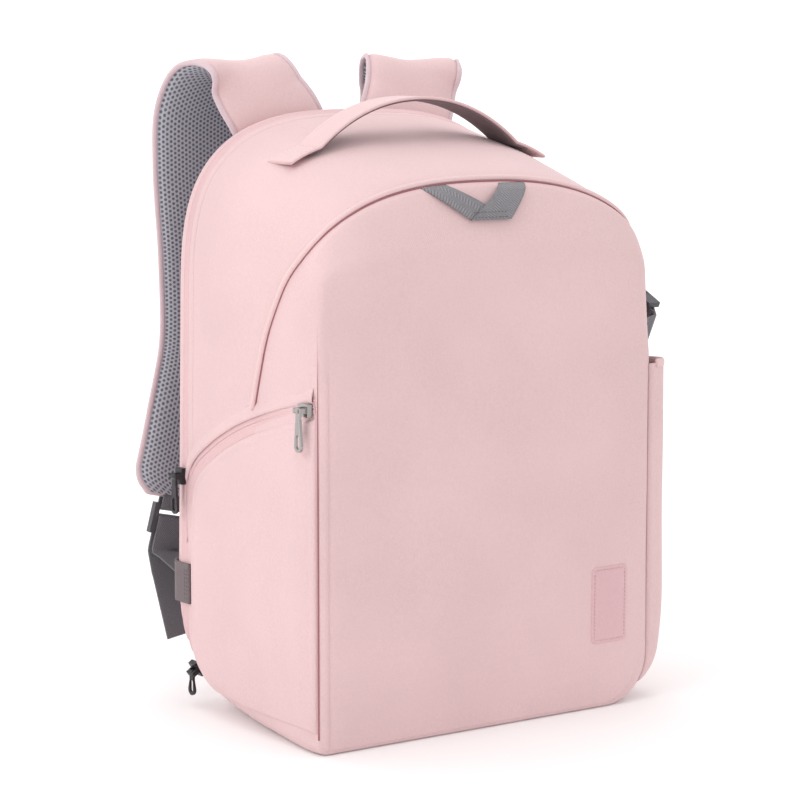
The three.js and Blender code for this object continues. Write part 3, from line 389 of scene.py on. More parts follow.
def rails(first, last, near_first, near_last, count):
    """Places from first to last along y for each t: at the given distances from both ends, drawn
    together where the ends are close, and evenly between."""
    near_first, near_last = np.asarray(near_first, float), np.asarray(near_last, float)
    tight = np.minimum(1, 0.9 * (last - first) / (near_first[-1] + near_last[-1]))[:, None]
    head = first[:, None] + tight * near_first
    tail = last[:, None] - tight * near_last[::-1]
    even = np.linspace(0, 1, count + 2)[1:-1]
    middle = head[:, -1:] + (tail[:, :1] - head[:, -1:]) * even
    return np.concatenate([head, middle, tail], axis=1)


def face_rings(edge, low, high, shares):
    """A face inside a closed edge, as rings: each edge point is joined, in the given shares, to
    the nearest rung, 5 mm apart, of an upright spine between two heights."""
    rung = np.round(np.clip(edge[:, 2], low, high) / 5) * 5
    spine = np.stack([0 * rung, 0 * rung + edge[:, 1].mean(), rung], -1)
    return spine[:, None] + shares[:, None] * (edge - spine)[:, None]


def bell(distance, spread):
    """Bell curve, 1 at no distance and 1 / e at the spread."""
    return np.exp(-((distance / spread) ** 2))


def front_relief(point):
    """How far the front panel stands forward of its plane: 1 - exp(-d/16) of its padding from
    its sides and foot, a soft ripple, and the welt's groove 5 mm in from the left edge."""
    x, z = point[..., 0], point[..., 2]
    edge = np.minimum(np.minimum(x + half_width - edge_left, half_width - edge_right - x), z)
    soft = 1 - np.exp(-np.clip(edge, 0, None) / 16)
    welted = np.clip((352 - z) / 110, 0, 1)
    left = x + half_width - edge_left
    welt = welted * (0.5 * bell(left - 2, 1.6) - 0.9 * bell(left - 5, 0.9))
    return soft * (2.6 + ripple(point, 4, 170, 1.5) + ripple(point, 9, 60, 0.3)) + welt


above_wall = np.clip((np.abs(around) - wall_share) / 0.05, 0, 1)
edge_out = front_relief(bag_form(around, -front_reach)) * above_wall
front_rails = rails(-front_reach - edge_out, arch_seam,
                    [0, 0.25, 0.7, 1.3, 2, 3, 4.5, 6.5, 9, 12, 16], [0, 0.6, 1.3, 2.6, 4.5], 12)
from_front, from_arch = front_rails + front_reach, arch_seam[:, None] - front_rails
plain = bag_form(around[:, None], front_rails)
hollow = np.clip((around[:, None] < -corner_share) * (330 - plain[..., 2]) / 60, 0, 1)
settled = np.clip((np.abs(around[:, None]) - base_share) / 0.04, 0, 1)
rising = 1 - np.exp(-np.clip(from_front, 0, None) / 8)
gusset_out = edge_out[:, None] * (1 - rising) + settled * rising * (1.2 + ripple(plain, 5, 110, 0.9))
gusset_out = gusset_out * (1 - np.exp(-from_arch / 7)) - hollow * 1.1 * bell(from_front - 9, 7)
gusset_out[:, 0] = edge_out
gusset = bag_form(around[:, None], front_rails, gusset_out)
gusset_uv = np.stack([np.broadcast_to(around_length[:, None], front_rails.shape), front_rails], -1)
welt_shares = 1 - np.array([0.055, 0.045, 0.04, 0.035, 0.03, 0.025, 0.02, 0.015, 0.01, 0.006, 0.003, 0])
face_shares = np.concatenate([np.linspace(0, 0.925, 34), welt_shares])
face = face_rings(gusset[:, 0], 150, 250, face_shares)
face_uv = face[..., [0, 2]]
face[:, :-1, 1] = -front_reach - front_relief(face[:, :-1])
bag_front = grids_to_piece("bag_front", [(face, face_uv), (gusset, gusset_uv)], pink_polyester)


def relax(piece, share, rounds):
    """Soften a mesh: each vertex goes its share of the way to the mean of its neighbours, so many
    times over."""
    mesh = piece.data
    place = np.empty(len(mesh.vertices) * 3)
    mesh.vertices.foreach_get("co", place)
    place = place.reshape(-1, 3)
    ends = np.empty(len(mesh.edges) * 2, int)
    mesh.edges.foreach_get("vertices", ends)
    one, other = ends[::2], ends[1::2]
    count = np.bincount(ends, minlength=len(place))[:, None]
    share = share(place / MM)[:, None]
    for _ in range(rounds):
        total = np.stack([np.bincount(one, place[other, k], len(place))
                          + np.bincount(other, place[one, k], len(place)) for k in range(3)], -1)
        place = place + share * (total / count - place)
    mesh.vertices.foreach_set("co", place.ravel())
    mesh.update()


def softened(point):
    """Share for relax: 0.8 from 342 mm up and 26 mm ahead of the arch, and none below 262 mm or
    within 4 mm of the arch."""
    upper = np.clip((point[:, 2] - 262) / 80, 0, 1)
    ahead = np.clip((arch_y(point[:, 2]) - point[:, 1] - 4) / 22, 0, 1)
    return 0.8 * upper * ahead


relax(bag_front, softened, 70)


def give_thickness(piece, thickness):
    """A wall of that thickness, inwards from the mesh."""
    wall = piece.modifiers.new("wall", "SOLIDIFY")
    wall.thickness, wall.offset = thickness * MM, -1
    wall.use_quality_normals = True


give_thickness(bag_front, 2.4)
fit(bag_front, "front_pocket")


# Padded body round the camera compartment: pink polyester over 8 mm of foam, sewn to the front
# pocket along the arch and zipped to the lid behind. A fine seam runs 13 mm before the zip.
flap_front, flap_back, flap_foot = -front_reach + 3, 76, 15
flap_low, flap_high = 168, 236
flap_shares = np.array([
    (0, 1), (0.17, 0.92), (0.44, 0.74), (0.62, 0.58), (0.8, 0.36), (0.93, 0.13), (0.985, -0.15), (1, -0.6),
])


def spline(points, count):
    """Centripetal Catmull-Rom through the points, at even steps along its length."""
    points = np.asarray(points, float)
    knots = np.concatenate([[2 * points[0] - points[1]], points, [2 * points[-1] - points[-2]]])
    gaps = np.sqrt(np.linalg.norm(np.diff(knots, axis=0), axis=1))
    times = np.concatenate([[0], np.cumsum(gaps)])
    runs = []
    for i in range(len(points) - 1):
        a, b, c, d = knots[i:i + 4]
        ta, tb, tc, td = times[i:i + 4]
        t = np.linspace(tb, tc, 40)[:, None]
        ab = (a * (tb - t) + b * (t - ta)) / (tb - ta)
        bc = (b * (tc - t) + c * (t - tb)) / (tc - tb)
        cd = (c * (td - t) + d * (t - tc)) / (td - tc)
        abc = (ab * (tc - t) + bc * (t - ta)) / (tc - ta)
        bcd = (bc * (td - t) + cd * (t - tb)) / (td - tb)
        runs.append((abc * (tc - t) + bcd * (t - tb)) / (tc - tb))
    fine = np.concatenate(runs)
    return resample(fine, count)


def resample(points, count):
    """The same line with that many points, evenly spaced."""
    length = run_along(points)
    even = np.linspace(0, length[-1], count)
    return np.stack([np.interp(even, length, column) for column in points.T], -1)


flap_edge = spline(np.stack([
    flap_front + (flap_back - flap_front) * flap_shares[:, 0],
    flap_low + (flap_high - flap_low) * flap_shares[:, 1],
], -1), 130)


def above_flap(y, z):
    """Height above the flap's top edge, and 60 mm anywhere behind the flap."""
    return np.where(y > flap_back, 60, z - np.interp(y, flap_edge[:, 0], flap_edge[:, 1]))


body_rails = rails(arch_seam, lid_seam, [0, 0.6, 1.3, 2.6, 4.5, 7],
                   [0, 1, 2.5, 4.5, 7, 9.5, 11, 12, 12.5, 13, 13.5, 14, 15, 17, 20, 24], 26)
plain = bag_form(around[:, None], body_rails)
from_arch, from_lid = body_rails - arch_seam[:, None], lid_seam[:, None] - body_rails
free_left = np.clip((above_flap(plain[..., 1], plain[..., 2]) - 16) / 22, 0, 1)
free_right = np.clip((plain[..., 2] - 262) / 40, 0, 1) * 0.35
side = np.where(plain[..., 0] < 0, free_left, free_right)
high = np.clip((np.abs(around[:, None]) - wall_share) / 0.12, 0, 1)
free = np.maximum(side, high * 0.8)
swell = (1 - np.exp(-from_arch / 9)) * (1 - np.exp(-from_lid / 9))
body_out = free * swell * (1.8 + ripple(plain, 7, 120, 1.3) + ripple(plain, 12, 45, 0.25))
body_out -= 0.7 * bell(from_lid - 13, 0.8) * np.clip(plain[..., 2] / 60, 0, 1)
body_points = bag_form(around[:, None], body_rails, body_out)
body_uv = np.stack([np.broadcast_to(around_length[:, None], body_rails.shape), body_rails], -1)
bag_body = grids_to_piece("bag_body", [(body_points, body_uv)], pink_polyester)
give_thickness(bag_body, 8)
fit(bag_body, "main_shell")


# Back lid: the zipped panel against the wearer, pink polyester on its rim and smooth behind its
# pads. It hangs on the zip alone.
lid_rails = rails(lid_seam, np.full(around.shape, back_reach),
                  [0, 0.6, 1.5, 3], [0, 0.2, 0.6, 1.3, 2.3, 3.6, 5.2, 7, 8.5], 3)
back_face = face_rings(bag_form(around, back_reach), 150, 270, face_shares)
back_face[:, :-1, 1] = back_reach - lean(back_face[:, :-1, 2])
back_uv = back_face[..., [0, 2]]
rim = bag_form(around[:, None], lid_rails)
rim_uv = np.stack([np.broadcast_to(around_length[:, None], lid_rails.shape), lid_rails], -1)
bag_lid = grids_to_piece("bag_lid", [(rim, rim_uv), (back_face, back_uv)], pink_polyester)
give_thickness(bag_lid, 4)
fit(bag_lid, "back_panel")


# Arch seam: a cord in a bias strip of pink cloth, sewn between front pocket and body, and ended
# at the side zip. Under its front side the crease of the needle line is painted as a thin wine-red shadow.
def along_path(path, outline, across):
    """Grid of an outline, (count, 2) or one for each point of the path, carried along a path: the
    first outline axis lies along the given direction and the second one square to it."""
    ahead = np.gradient(path, axis=0)
    ahead /= np.linalg.norm(ahead, axis=1, keepdims=True)
    wide = np.broadcast_to(across, path.shape).astype(float)
    wide = wide - (wide * ahead).sum(1, keepdims=True) * ahead
    wide /= np.linalg.norm(wide, axis=1, keepdims=True)
    thick = np.cross(ahead, wide)
    outline = np.broadcast_to(outline, (len(path), *outline.shape[-2:]))
    points = path[:, None] + outline[..., :1] * wide[:, None] + outline[..., 1:] * thick[:, None]
    along = run_along(path)
    girth = np.concatenate([
        np.zeros((len(path), 1)), np.cumsum(np.linalg.norm(np.diff(points, axis=1), axis=2), axis=1),
    ], 1)
    return points, np.stack([girth, np.broadcast_to(along[:, None], girth.shape)], -1)


def closed_ends(points, uv):
    """The grid with its first and last ring drawn to their middle."""
    first, last = points[:1].mean(1, keepdims=True), points[-1:].mean(1, keepdims=True)
    count = points.shape[1]
    points = np.concatenate([first.repeat(count, 1), points, last.repeat(count, 1)])
    return points, np.concatenate([uv[:1], uv, uv[-1:]])


def circle(radius, sides=12):
    """Round outline with as many sides, its last point on its first."""
    angle = np.linspace(0, 2 * math.pi, sides + 1)
    return radius * np.stack([np.cos(angle), np.sin(angle)], -1)


def swept(name, path, outline, material, across=(0.0, 1.0, 0.0)):
    """A closed piece: the outline carried along the path, with its first axis along across."""
    return grids_to_piece(name, [closed_ends(*along_path(path, outline, across))], material)


def over_top(seam, foot):
    """A seam's part above a height, from left to right over the top, as t and y."""
    order = np.argsort(np.where(around > 0, -around, -2 - around))
    order = order[bag_form(around, seam)[order, 2] > foot]
    return around[order], seam[order]


# Wine red painted as shadow, for the thin tubes in the creases of the arch seam and the front's left edge.
seam_shadow_paint = coated_cloth("wine_painted_seam_shadow", "#a2686f", thread=0.5, bloom=0.0)
cord_foot, cord_radius = 232, 2.1
arch_t, arch_line = over_top(arch_seam, cord_foot)
arch_cord = swept("arch_cord", bag_form(arch_t, arch_line, 1.3), circle(cord_radius), pink_piping)
# Painted shadow: a thin wine-red tube in the crease just ahead of and under the cord.
arch_shadow = swept("arch_seam_painted_shadow", bag_form(arch_t, arch_line - cord_radius, 0.7), circle(0.6, 6),
                    seam_shadow_paint)
for piece in (arch_cord, arch_shadow):
    fit(piece)
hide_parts("arch_piping")

# Down the front's left edge a thin wine-red tube, thinner upwards, is painted shadow in the crease of the
# welted seam.
edge_z = bag_form(-up, -front_reach)[:, 2]
edge_t = -up[(edge_z > 9) & (edge_z < 300)]
edge_path = bag_form(edge_t, -front_reach + 1.6, 0.25)
fading = np.clip((300 - edge_path[:, 2]) / 120, 0.05, 1)[:, None, None]
edge_shadow_tube = swept("front_edge_painted_shadow", edge_path, circle(0.55, 6) * fading, seam_shadow_paint)
fit(edge_shadow_tube)


# Access flap on the left: a padded panel of pink polyester that the side zip opens. It is sewn
# in at its front edge, rolls over a cord at its top and swells between its seams.
def left_wall(y, z, out):
    """Point on the left side of the form over (y, z): half the width, less the superellipse
    above, the corner below and the rolled front edge, and out square to the wall."""
    top, shoulder, power, foot, turn = (section(k, y) for k in range(1, 6))
    radius = corner_left + (corner_back - corner_left) * turn
    below = np.clip(foot * corner_back + radius - z, 0, radius)
    above = np.clip((z - (top - shoulder) * height) / (shoulder * height), 0, 1)
    upper = (1 - above**power) ** (1 / power)
    lower = radius - np.sqrt(radius**2 - below**2)
    x = half_width * upper - lower - roll(y + front_reach, edge_left)
    return np.stack([-(x + out), y, z], -1)


def packed_ends(count, ease=1.6):
    """Shares from 0 to 1, closer together at both ends."""
    u = np.linspace(-1, 1, count)
    return (np.sign(u) * (1 - (1 - np.abs(u)) ** ease) + 1) / 2


def nearest(y, z, line):
    """Distance from each (y, z) to the points of a line."""
    gap = np.hypot(y[..., None] - line[:, 0], z[..., None] - line[:, 1])
    return gap.min(-1)


flap_u, flap_w = packed_ends(76), packed_ends(84)
flap_top = resample(flap_edge, 400)
flap_top = np.stack([np.interp(flap_u, np.linspace(0, 1, 400), flap_top[:, k]) for k in (0, 1)], -1)
flap_base = np.stack([flap_front + (flap_back - flap_front) * flap_u, np.full_like(flap_u, flap_foot)], -1)
flap_yz = flap_base[:, None] + flap_w[None, :, None] * (flap_top - flap_base)[:, None]
flap_y, flap_z = flap_yz[..., 0], flap_yz[..., 1]
inside = np.minimum(np.minimum(flap_y - flap_front, flap_back - flap_y), flap_z - flap_foot)
inside = np.minimum(inside, nearest(flap_y, flap_z, resample(flap_edge, 300)))
inside = np.clip(inside, 0, None)
rounded = np.sqrt(np.clip(1 - (1 - np.clip(inside / 3.2, 0, 1)) ** 2, 0, 1))
flap_plain = left_wall(flap_y, flap_z, 0)
behind_front = flap_y + front_reach
flap_fold = 1.5 * bell(behind_front - 20, 8) - bell(behind_front - 42, 12)
flap_swell = (1 - np.exp(-inside / 24)) * (2.6 + ripple(flap_plain, 21, 90, 1.6) + flap_fold)
flap_out = -1.0 + 3.4 * rounded + flap_swell - 0.45 * bell(inside - 6.5, 0.8) * (flap_z > 60)
access_flap = grids_to_piece("access_flap", [(left_wall(flap_y, flap_z, flap_out), flap_yz)], pink_polyester)
fit(access_flap, "side_flap_left")


# Side zip: a coated zip along the flap's top and down its rear edge, with its coil hidden
# under the tape. Above it the body's cloth is folded over as a rain cover.
rear_run = np.stack([np.full(24, flap_back), np.linspace(flap_edge[-1, 1], 24, 25)[1:]], -1)
zip_line = resample(np.concatenate([flap_edge, rear_run]), 190)
zip_ahead = np.gradient(zip_line, axis=0)
zip_ahead /= np.linalg.norm(zip_ahead, axis=1, keepdims=True)
zip_square = np.stack([-zip_ahead[:, 1], zip_ahead[:, 0]], -1)
zip_tape = coated_cloth("zip_tape", "#dfbcbe", thread=0.7)
zip_middle, rear_limit, zip_length = 6.8, 81.4, 420


def beside_zip(distance, out):
    """Grid along the zip line, at distances square to it and away from the flap, kept clear of
    the lid's zip, at heights out from the wall."""
    place = zip_line[:, None] + distance[None, :, None] * zip_square[:, None]
    y = np.minimum(place[..., 0], rear_limit)
    along = np.linspace(0, zip_length, len(zip_line))[:, None]
    uv = np.stack([np.broadcast_to(distance, y.shape), np.broadcast_to(along, y.shape)], -1)
    return left_wall(y, place[..., 1], out), uv


tape_at = np.array([-0.4, 0.3, 1.5, 3.2, 4.6, 5.6, 6.2, 6.55, 6.8, 7.05, 7.4, 8, 9, 10.4, 12, 13.3])
tape_out = 0.5 + 1.0 * bell(tape_at - zip_middle, 2.4) - 1.1 * bell(tape_at - zip_middle, 0.35)
side_zip = grids_to_piece("side_zip", [beside_zip(tape_at, tape_out + 0 * zip_line[:, :1])], zip_tape)
give_thickness(side_zip, 0.8)
fit(side_zip, "side_zip_left")

cover_at = np.array([10.6, 10.5, 10.7, 11.2, 12, 13.2, 14.8, 16.8, 19, 22])
cover_out = np.array([0.9, 1.6, 2.2, 2.6, 2.8, 2.7, 2.3, 1.6, 0.8, -0.4])
cover_fade = np.clip((zip_line[:, 1] - 118) / 40, 0, 1)[:, None]
cover_out = cover_out * cover_fade - 1.2 * (1 - cover_fade)
zip_cover = grids_to_piece("zip_cover", [beside_zip(cover_at, cover_out)], pink_polyester)
give_thickness(zip_cover, 0.6)
fit(zip_cover)


# Zip round the back lid: a coated zip sewn to body and lid over their seam, with its ends where
# the bag's foot rounds off.
back_zip_foot = 50
lid_t, lid_line = over_top(lid_seam, back_zip_foot)
zip_across = np.array([-5.2, -5, -4, -2.4, -1.5, -0.9, -0.4, 0, 0.4, 0.9, 1.5, 2.4, 4, 5, 5.2])
zip_out = np.array([-0.3, 0.8, 1.0, 1.2, 1.6, 1.9, 1.8, 1.0, 1.8, 1.9, 1.6, 1.2, 1.0, 0.8, -0.3])
zip_points = bag_form(lid_t[:, None], lid_line[:, None] + zip_across, zip_out)
zip_run = run_along(zip_points[:, 7])
zip_uv = np.stack(np.broadcast_arrays(zip_across, zip_run[:, None]), -1)
back_zip = grids_to_piece("back_zip_tape", [(zip_points, zip_uv)], zip_tape)
give_thickness(back_zip, 0.7)
fit(back_zip, "back_zip")


# Grab handle: a flat band of pink cloth over brown-grey webbing, sewn down at both ends with a
# box of stitches, so that fingers go under its middle.
handle_width, handle_y = 31, 10
handle_half, handle_sewn, handle_rise, handle_lie = 113, 26, 26, 2.2


def top_z(x, y):
    """Height of the top over (x, y): the superellipse of the section at y."""
    top, shoulder, power = (section(k, y) for k in (1, 2, 3))
    reach = np.clip(np.abs(x) / half_width, 0, 1)
    return (top - shoulder + shoulder * (1 - reach**power) ** (1 / power)) * height


def slab(width, thickness, lift=0.0, edge=0.8, sides=4):
    """Outline of a flat band with rounded edges: quarter circles of the edge's radius at its
    corners, and its underside at the given lift from the path."""
    turn = np.linspace(0, math.pi / 2, sides)
    corner = np.stack([np.cos(turn), np.sin(turn)], -1) * min(edge, thickness / 2)
    half, high = width / 2 - corner[0, 0], thickness / 2 - corner[-1, 1]
    flat = np.linspace(1, -1, 7)[1:-1, None] * (half, 0) + (0, thickness / 2)
    right = corner + (half, high)
    left = corner[::-1] * (-1, 1) + (-half, high)
    upper = np.concatenate([right, flat, left])
    ring = np.concatenate([upper, -upper, upper[:1]])
    return ring + (0, lift + thickness / 2)


def handle_height(x):
    """Height of the band's path over x: it lies on the top where it is sewn, and between rises
    by r (1 - (1 - s)^2), with s the share of the way in from the stitches."""
    free = np.clip(1 - np.abs(x) / (handle_half - handle_sewn), 0, 1)
    return top_z(x, handle_y) + handle_rise * (1 - (1 - free) ** 2) + handle_lie


brown_webbing = coated_cloth("brown_grey_webbing", "#77686b", thread=1.6, bloom=0.05)
handle_x = np.linspace(-handle_half, handle_half, 121)
handle_path = np.stack([handle_x, np.full_like(handle_x, handle_y), handle_height(handle_x)], -1)
handle_cloth = swept("handle_band", handle_path, slab(handle_width, 2.2, 0.6, 1.1), pink_polyester)
handle_under = swept("handle_underside", handle_path[8:-8], slab(handle_width - 3, 1.2, -0.6, 0.5),
                     brown_webbing)
for piece in (handle_cloth, handle_under):
    fit(piece)
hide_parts("grab_handle")

pink_thread = coated_cloth("pink_thread", "#c9a2a6", thread=0.4, bloom=0.0)
grey_thread = coated_cloth("grey_thread", "#6d6a6f", thread=0.4, bloom=0.0)


def sew(name, paths, material, length=2.6, gap=1.2, radius=0.32):
    """Stitches along paths: each a short bead that rises from the cloth at its middle, with six
    sides and five rings, laid end to end with a gap between."""
    turn = np.linspace(0, 2 * math.pi, 7)
    along = np.linspace(-0.5, 0.5, 5)
    swell = np.sqrt(np.clip(1 - (2 * along) ** 2, 0.0, 1))
    grids = []
    for path in paths:
        path = np.asarray(path, float)
        total = run_along(path)[-1]
        ends = resample(path, 2 * max(round(total / (length + gap)), 1) + 1)
        for start, stop in zip(ends[:-1:2], ends[1::2]):
            ahead = (stop - start) / np.linalg.norm(stop - start)
            side = np.cross(ahead, (0.31, 0.52, 0.79))
            side /= np.linalg.norm(side)
            up = np.cross(side, ahead)
            middle = (start + stop) / 2 + along[:, None] * ahead * length
            ring = np.cos(turn)[:, None] * side + np.sin(turn)[:, None] * up
            points = middle[:, None] + radius * swell[:, None, None] * ring
            grids.append((points, np.zeros(points.shape[:2] + (2,))))
    piece = grids_to_piece(name, grids, material, merge=0.001)
    fit(piece)
    return piece


def on_handle(x, y):
    """Points on the handle's upper face."""
    return np.stack(np.broadcast_arrays(x, y, handle_height(x) + 2.8), -1)


handle_boxes = []
for side in (-1, 1):
    xs, ys = side * np.array([handle_half - 3.5, handle_half - 23]), handle_y + np.array([-12, 12])
    line = np.linspace(0, 1, 12)
    for y in ys:
        handle_boxes.append(on_handle(xs[0] + line * (xs[1] - xs[0]), np.full(12, y)))
    for x in xs:
        handle_boxes.append(on_handle(np.full(12, x), ys[0] + line * (ys[1] - ys[0])))
sew("handle_stitches", handle_boxes, pink_thread)


# V of grey herringbone webbing: two strips that come out from under the arch cord, cross at
# their feet and are sewn down there with two rows of thread.
def grey_webbing(name, hex_colour, rib=2.2, chevron=6.0):
    """Herringbone webbing: height = sin(2 pi (v + |u|) / rib), with u folded every chevron mm.
    Dips have about a third of the ribs' colour, as shadow between tight polyester yarns."""
    material, tree, shader = blank_material(name)
    uv = add_node(tree, "ShaderNodeUVMap", uv_map="cloth")
    axes = add_node(tree, "ShaderNodeSeparateXYZ", [(uv.outputs[0], 0)])
    folded = add_node(tree, "ShaderNodeMath", [(axes.outputs[0], 0)], operation="PINGPONG",
                      i1=chevron * MM)
    slanted = add_node(tree, "ShaderNodeMath", [(axes.outputs[1], 0), (folded.outputs[0], 1)],
                       operation="ADD")
    turns = add_node(tree, "ShaderNodeMath", [(slanted.outputs[0], 0)], operation="MULTIPLY",
                     i1=2 * math.pi / (rib * MM))
    wave = add_node(tree, "ShaderNodeMath", [(turns.outputs[0], 0)], operation="SINE")
    share = add_node(tree, "ShaderNodeMapRange", [(wave.outputs[0], 0)], i1=-1.0, i2=1.0)
    place = add_node(tree, "ShaderNodeTexCoord")
    fluff = add_node(tree, "ShaderNodeTexNoise", [(place.outputs["Object"], 0)], in_Scale=900, in_Detail=2)
    both = add_node(tree, "ShaderNodeMath", [(share.outputs[0], 0), (fluff.outputs[0], 1)],
                    operation="MULTIPLY")
    mixed = add_node(tree, "ShaderNodeMix", [(both.outputs[0], 0)], data_type="RGBA",
                     i6=toned(hex_colour, 0.55), i7=toned(hex_colour, 1.5))
    tree.links.new(mixed.outputs[2], shader.inputs["Base Color"])
    bump = add_node(tree, "ShaderNodeBump", [(share.outputs[0], "Height")],
                    in_Strength=0.5, in_Distance=0.35 * MM)
    tree.links.new(bump.outputs[0], shader.inputs["Normal"])
    shader.inputs["Roughness"].default_value = 0.7
    shader.inputs["Sheen Weight"].default_value = 0.12
    return material


loop_webbing = grey_webbing("grey_herringbone_webbing", "#8e8c91")


def front_point(x, z, out):
    """Point ahead of the front: the y at which the section's top reaches z over x, found by
    halving, or the front plane below that, and out along y."""
    x, z = np.broadcast_arrays(x, z)
    low, high = np.full(x.shape, -front_reach), np.full(x.shape, -60.0)
    for _ in range(22):
        middle = (low + high) / 2
        short = top_z(x, middle) < z
        low, high = np.where(short, middle, low), np.where(short, high, middle)
    return np.stack([x, (low + high) / 2 - out, z], -1)


loop_x, loop_top, loop_width, loop_length = -4, 391.5, 24, 46
loop_share = np.linspace(0, 1, 26)[:, None]
loop_across = np.linspace(0, 1, 13)
for name, corners, lift in (
    ("top_loop_left", ((-54, 0), (-30, 0), (18, -25), (-17, -25)), 2.2),
    ("top_loop_right", ((40, 0), (16, 0), (-18, -25), (17, -25)), 3.5),
):
    a, b, c, d = (np.array(corner, float) for corner in corners)
    head = a + loop_across[:, None] * (b - a)
    foot = d + loop_across[:, None] * (c - d)
    plan = head + loop_share[..., None] * (foot - head)
    raised = lift * np.clip(0.25 + loop_share / 0.2, 0, 1) * np.ones_like(loop_across)
    strip = front_point(loop_x + plan[..., 0], loop_top + plan[..., 1], raised)
    strip_uv = np.stack(np.broadcast_arrays(loop_across * loop_width, loop_share * loop_length), -1)
    piece = grids_to_piece(name, [(strip, strip_uv)], loop_webbing)
    give_thickness(piece, 1.3)
    fit(piece)
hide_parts("top_loop")
loop_rows = [front_point(loop_x + np.linspace(-15, 15, 14), np.full(14, loop_top + z), 3.7)
             for z in (-23.2, -19.5)]
sew("top_loop_stitches", loop_rows, grey_thread, 2.2, 0.9)


# Plain patch, low on the front panel: cloth of the same pink with a turned edge, sewn on all
# round. It carries nothing.
def padded_outline(width, length, radius, count):
    """Rounded rectangle about the origin, at even steps."""
    turn = np.linspace(0, math.pi / 2, 9)
    half, tall = width / 2 - radius, length / 2 - radius
    arcs = [np.stack([sx * half, sz * tall]) + radius * np.stack([np.cos(turn + a), np.sin(turn + a)], -1)
            for sx, sz, a in ((1, 1, 0), (-1, 1, math.pi / 2), (-1, -1, math.pi), (1, -1, 1.5 * math.pi))]
    ring = np.concatenate([*arcs, arcs[0][:1]])
    return resample(ring, count)


def pillow_plan(width, length, radius, rings, count):
    """Plan of a rounded rectangle as rings from its middle line to its edge, with the distance of
    each point from the edge. The middle line has the length by which the piece is the longer."""
    edge = padded_outline(width, length, radius, count)
    rung = 2.8 * (width + length) / count
    spine = np.stack([edge[:, 0] * 0, np.clip(edge[:, 1], (width - length) / 2, (length - width) / 2)], -1)
    spine = np.round(spine / rung) * rung
    share = (1 - (1 - np.linspace(0, 1, rings)) ** 1.6)[:, None, None]
    plan = spine + share * (edge - spine)
    return plan, nearest(plan[..., 0], plan[..., 1], edge)


patch_pink = coated_cloth("pink_patch_cloth", "#d9b4b8", thread=0.9)
patch_x, patch_z, patch_width, patch_length, patch_seam = 105, 78, 34, 58, 2.6
patch_plan, patch_in = pillow_plan(patch_width, patch_length, 4, 14, 120)
patch_out = 1.5 * np.sqrt(np.clip(1 - (1 - np.clip(patch_in / 1.6, 0, 1)) ** 2, 0, 1)) - 0.4
patch_out = patch_out - 0.35 * bell(patch_in - patch_seam, 0.5)


def on_front(x, z, out):
    """Points over the padded front panel, out from it by mm."""
    flat = np.stack(np.broadcast_arrays(x, -front_reach, z), -1)
    flat[..., 1] -= front_relief(flat) + out
    return flat


patch_points = on_front(patch_x + patch_plan[..., 0], patch_z + patch_plan[..., 1], patch_out)
patch = grids_to_piece("plain_patch", [(patch_points, patch_plan)], patch_pink)
fit(patch, "front_patch")
patch_ring = padded_outline(patch_width - 2 * patch_seam, patch_length - 2 * patch_seam, 2, 90)
sew("patch_stitches", [on_front(patch_x + patch_ring[:, 0], patch_z + patch_ring[:, 1], 0.95)],
    pink_thread, 2.0, 0.9, 0.26)


# Tab of brown-grey webbing, wrapped round the rear left edge over the lid's zip.
tab_low, tab_high, tab_front = 79, 109, 76
tab_turn = np.linspace(0, math.pi / 2, 14)
tab_out = 3.4
tab_centre = np.array([-half_width + edge_back, back_reach - edge_back])
tab_flat = np.linspace(tab_front, tab_centre[1], 14)
tab_line = np.concatenate([
    [[-half_width - 1.2, tab_front - 0.6]],
    np.stack([np.full(14, -half_width - tab_out), tab_flat], -1),
    tab_centre + (edge_back + tab_out) * np.stack([-np.cos(tab_turn), np.sin(tab_turn)], -1)[1:],
    [[tab_centre[0] + 5, back_reach + tab_out - 1]],
])
tab_heights = np.linspace(tab_low, tab_high, 22)
tab_points = np.stack(np.broadcast_arrays(tab_line[:, None, 0], tab_line[:, None, 1], tab_heights), -1)
tab_run = np.arange(len(tab_line))[:, None] * 1.6
tab_uv = np.stack(np.broadcast_arrays(tab_heights, tab_run), -1)
tab_webbing = grey_webbing("brown_herringbone_webbing", "#77686b", 1.8, 15)
side_tab = grids_to_piece("side_tab_webbing", [(tab_points, tab_uv)], tab_webbing)
give_thickness(side_tab, 1.6)
fit(side_tab, "side_tab")
stitch_heights = np.linspace(tab_low + 3, tab_high - 3, 10)
tab_stitches = [np.stack(np.broadcast_arrays(-half_width - tab_out - 0.1, y, stitch_heights), -1)
                for y in (tab_front + 2.5, tab_front + 6)]
sew("side_tab_stitches", tab_stitches, grey_thread, 2.0, 0.9)


# Open pocket on the right for a bottle or tripod feet: one sheet of pink polyester, hemmed at
# its mouth and sewn to the bag on its other three sides.
pocket_front, pocket_back, pocket_foot, pocket_top, pocket_bulge = -92, 72, 14, 256, 18
pocket_u, pocket_w = packed_ends(64, 2.2), np.concatenate([[0], 1 - packed_ends(80, 1.3)[::-1][1:]])
pocket_y = pocket_front + (pocket_back - pocket_front) * pocket_u[:, None] * np.ones_like(pocket_w)
mouth = pocket_top - 2 - 3 * np.sin(math.pi * pocket_u[:, None])
pocket_z = pocket_foot + (mouth - pocket_foot) * pocket_w
foot, turn = section(4, pocket_y), section(5, pocket_y)
radius = corner_right + (corner_back - corner_right) * turn
below = np.clip(foot * corner_back + radius - pocket_z, 0, radius)
wall = half_width - radius + np.sqrt(radius**2 - below**2) - roll(pocket_y + front_reach, edge_right)
climb = np.clip((pocket_z - pocket_foot) / (0.16 * height), 0, 1)
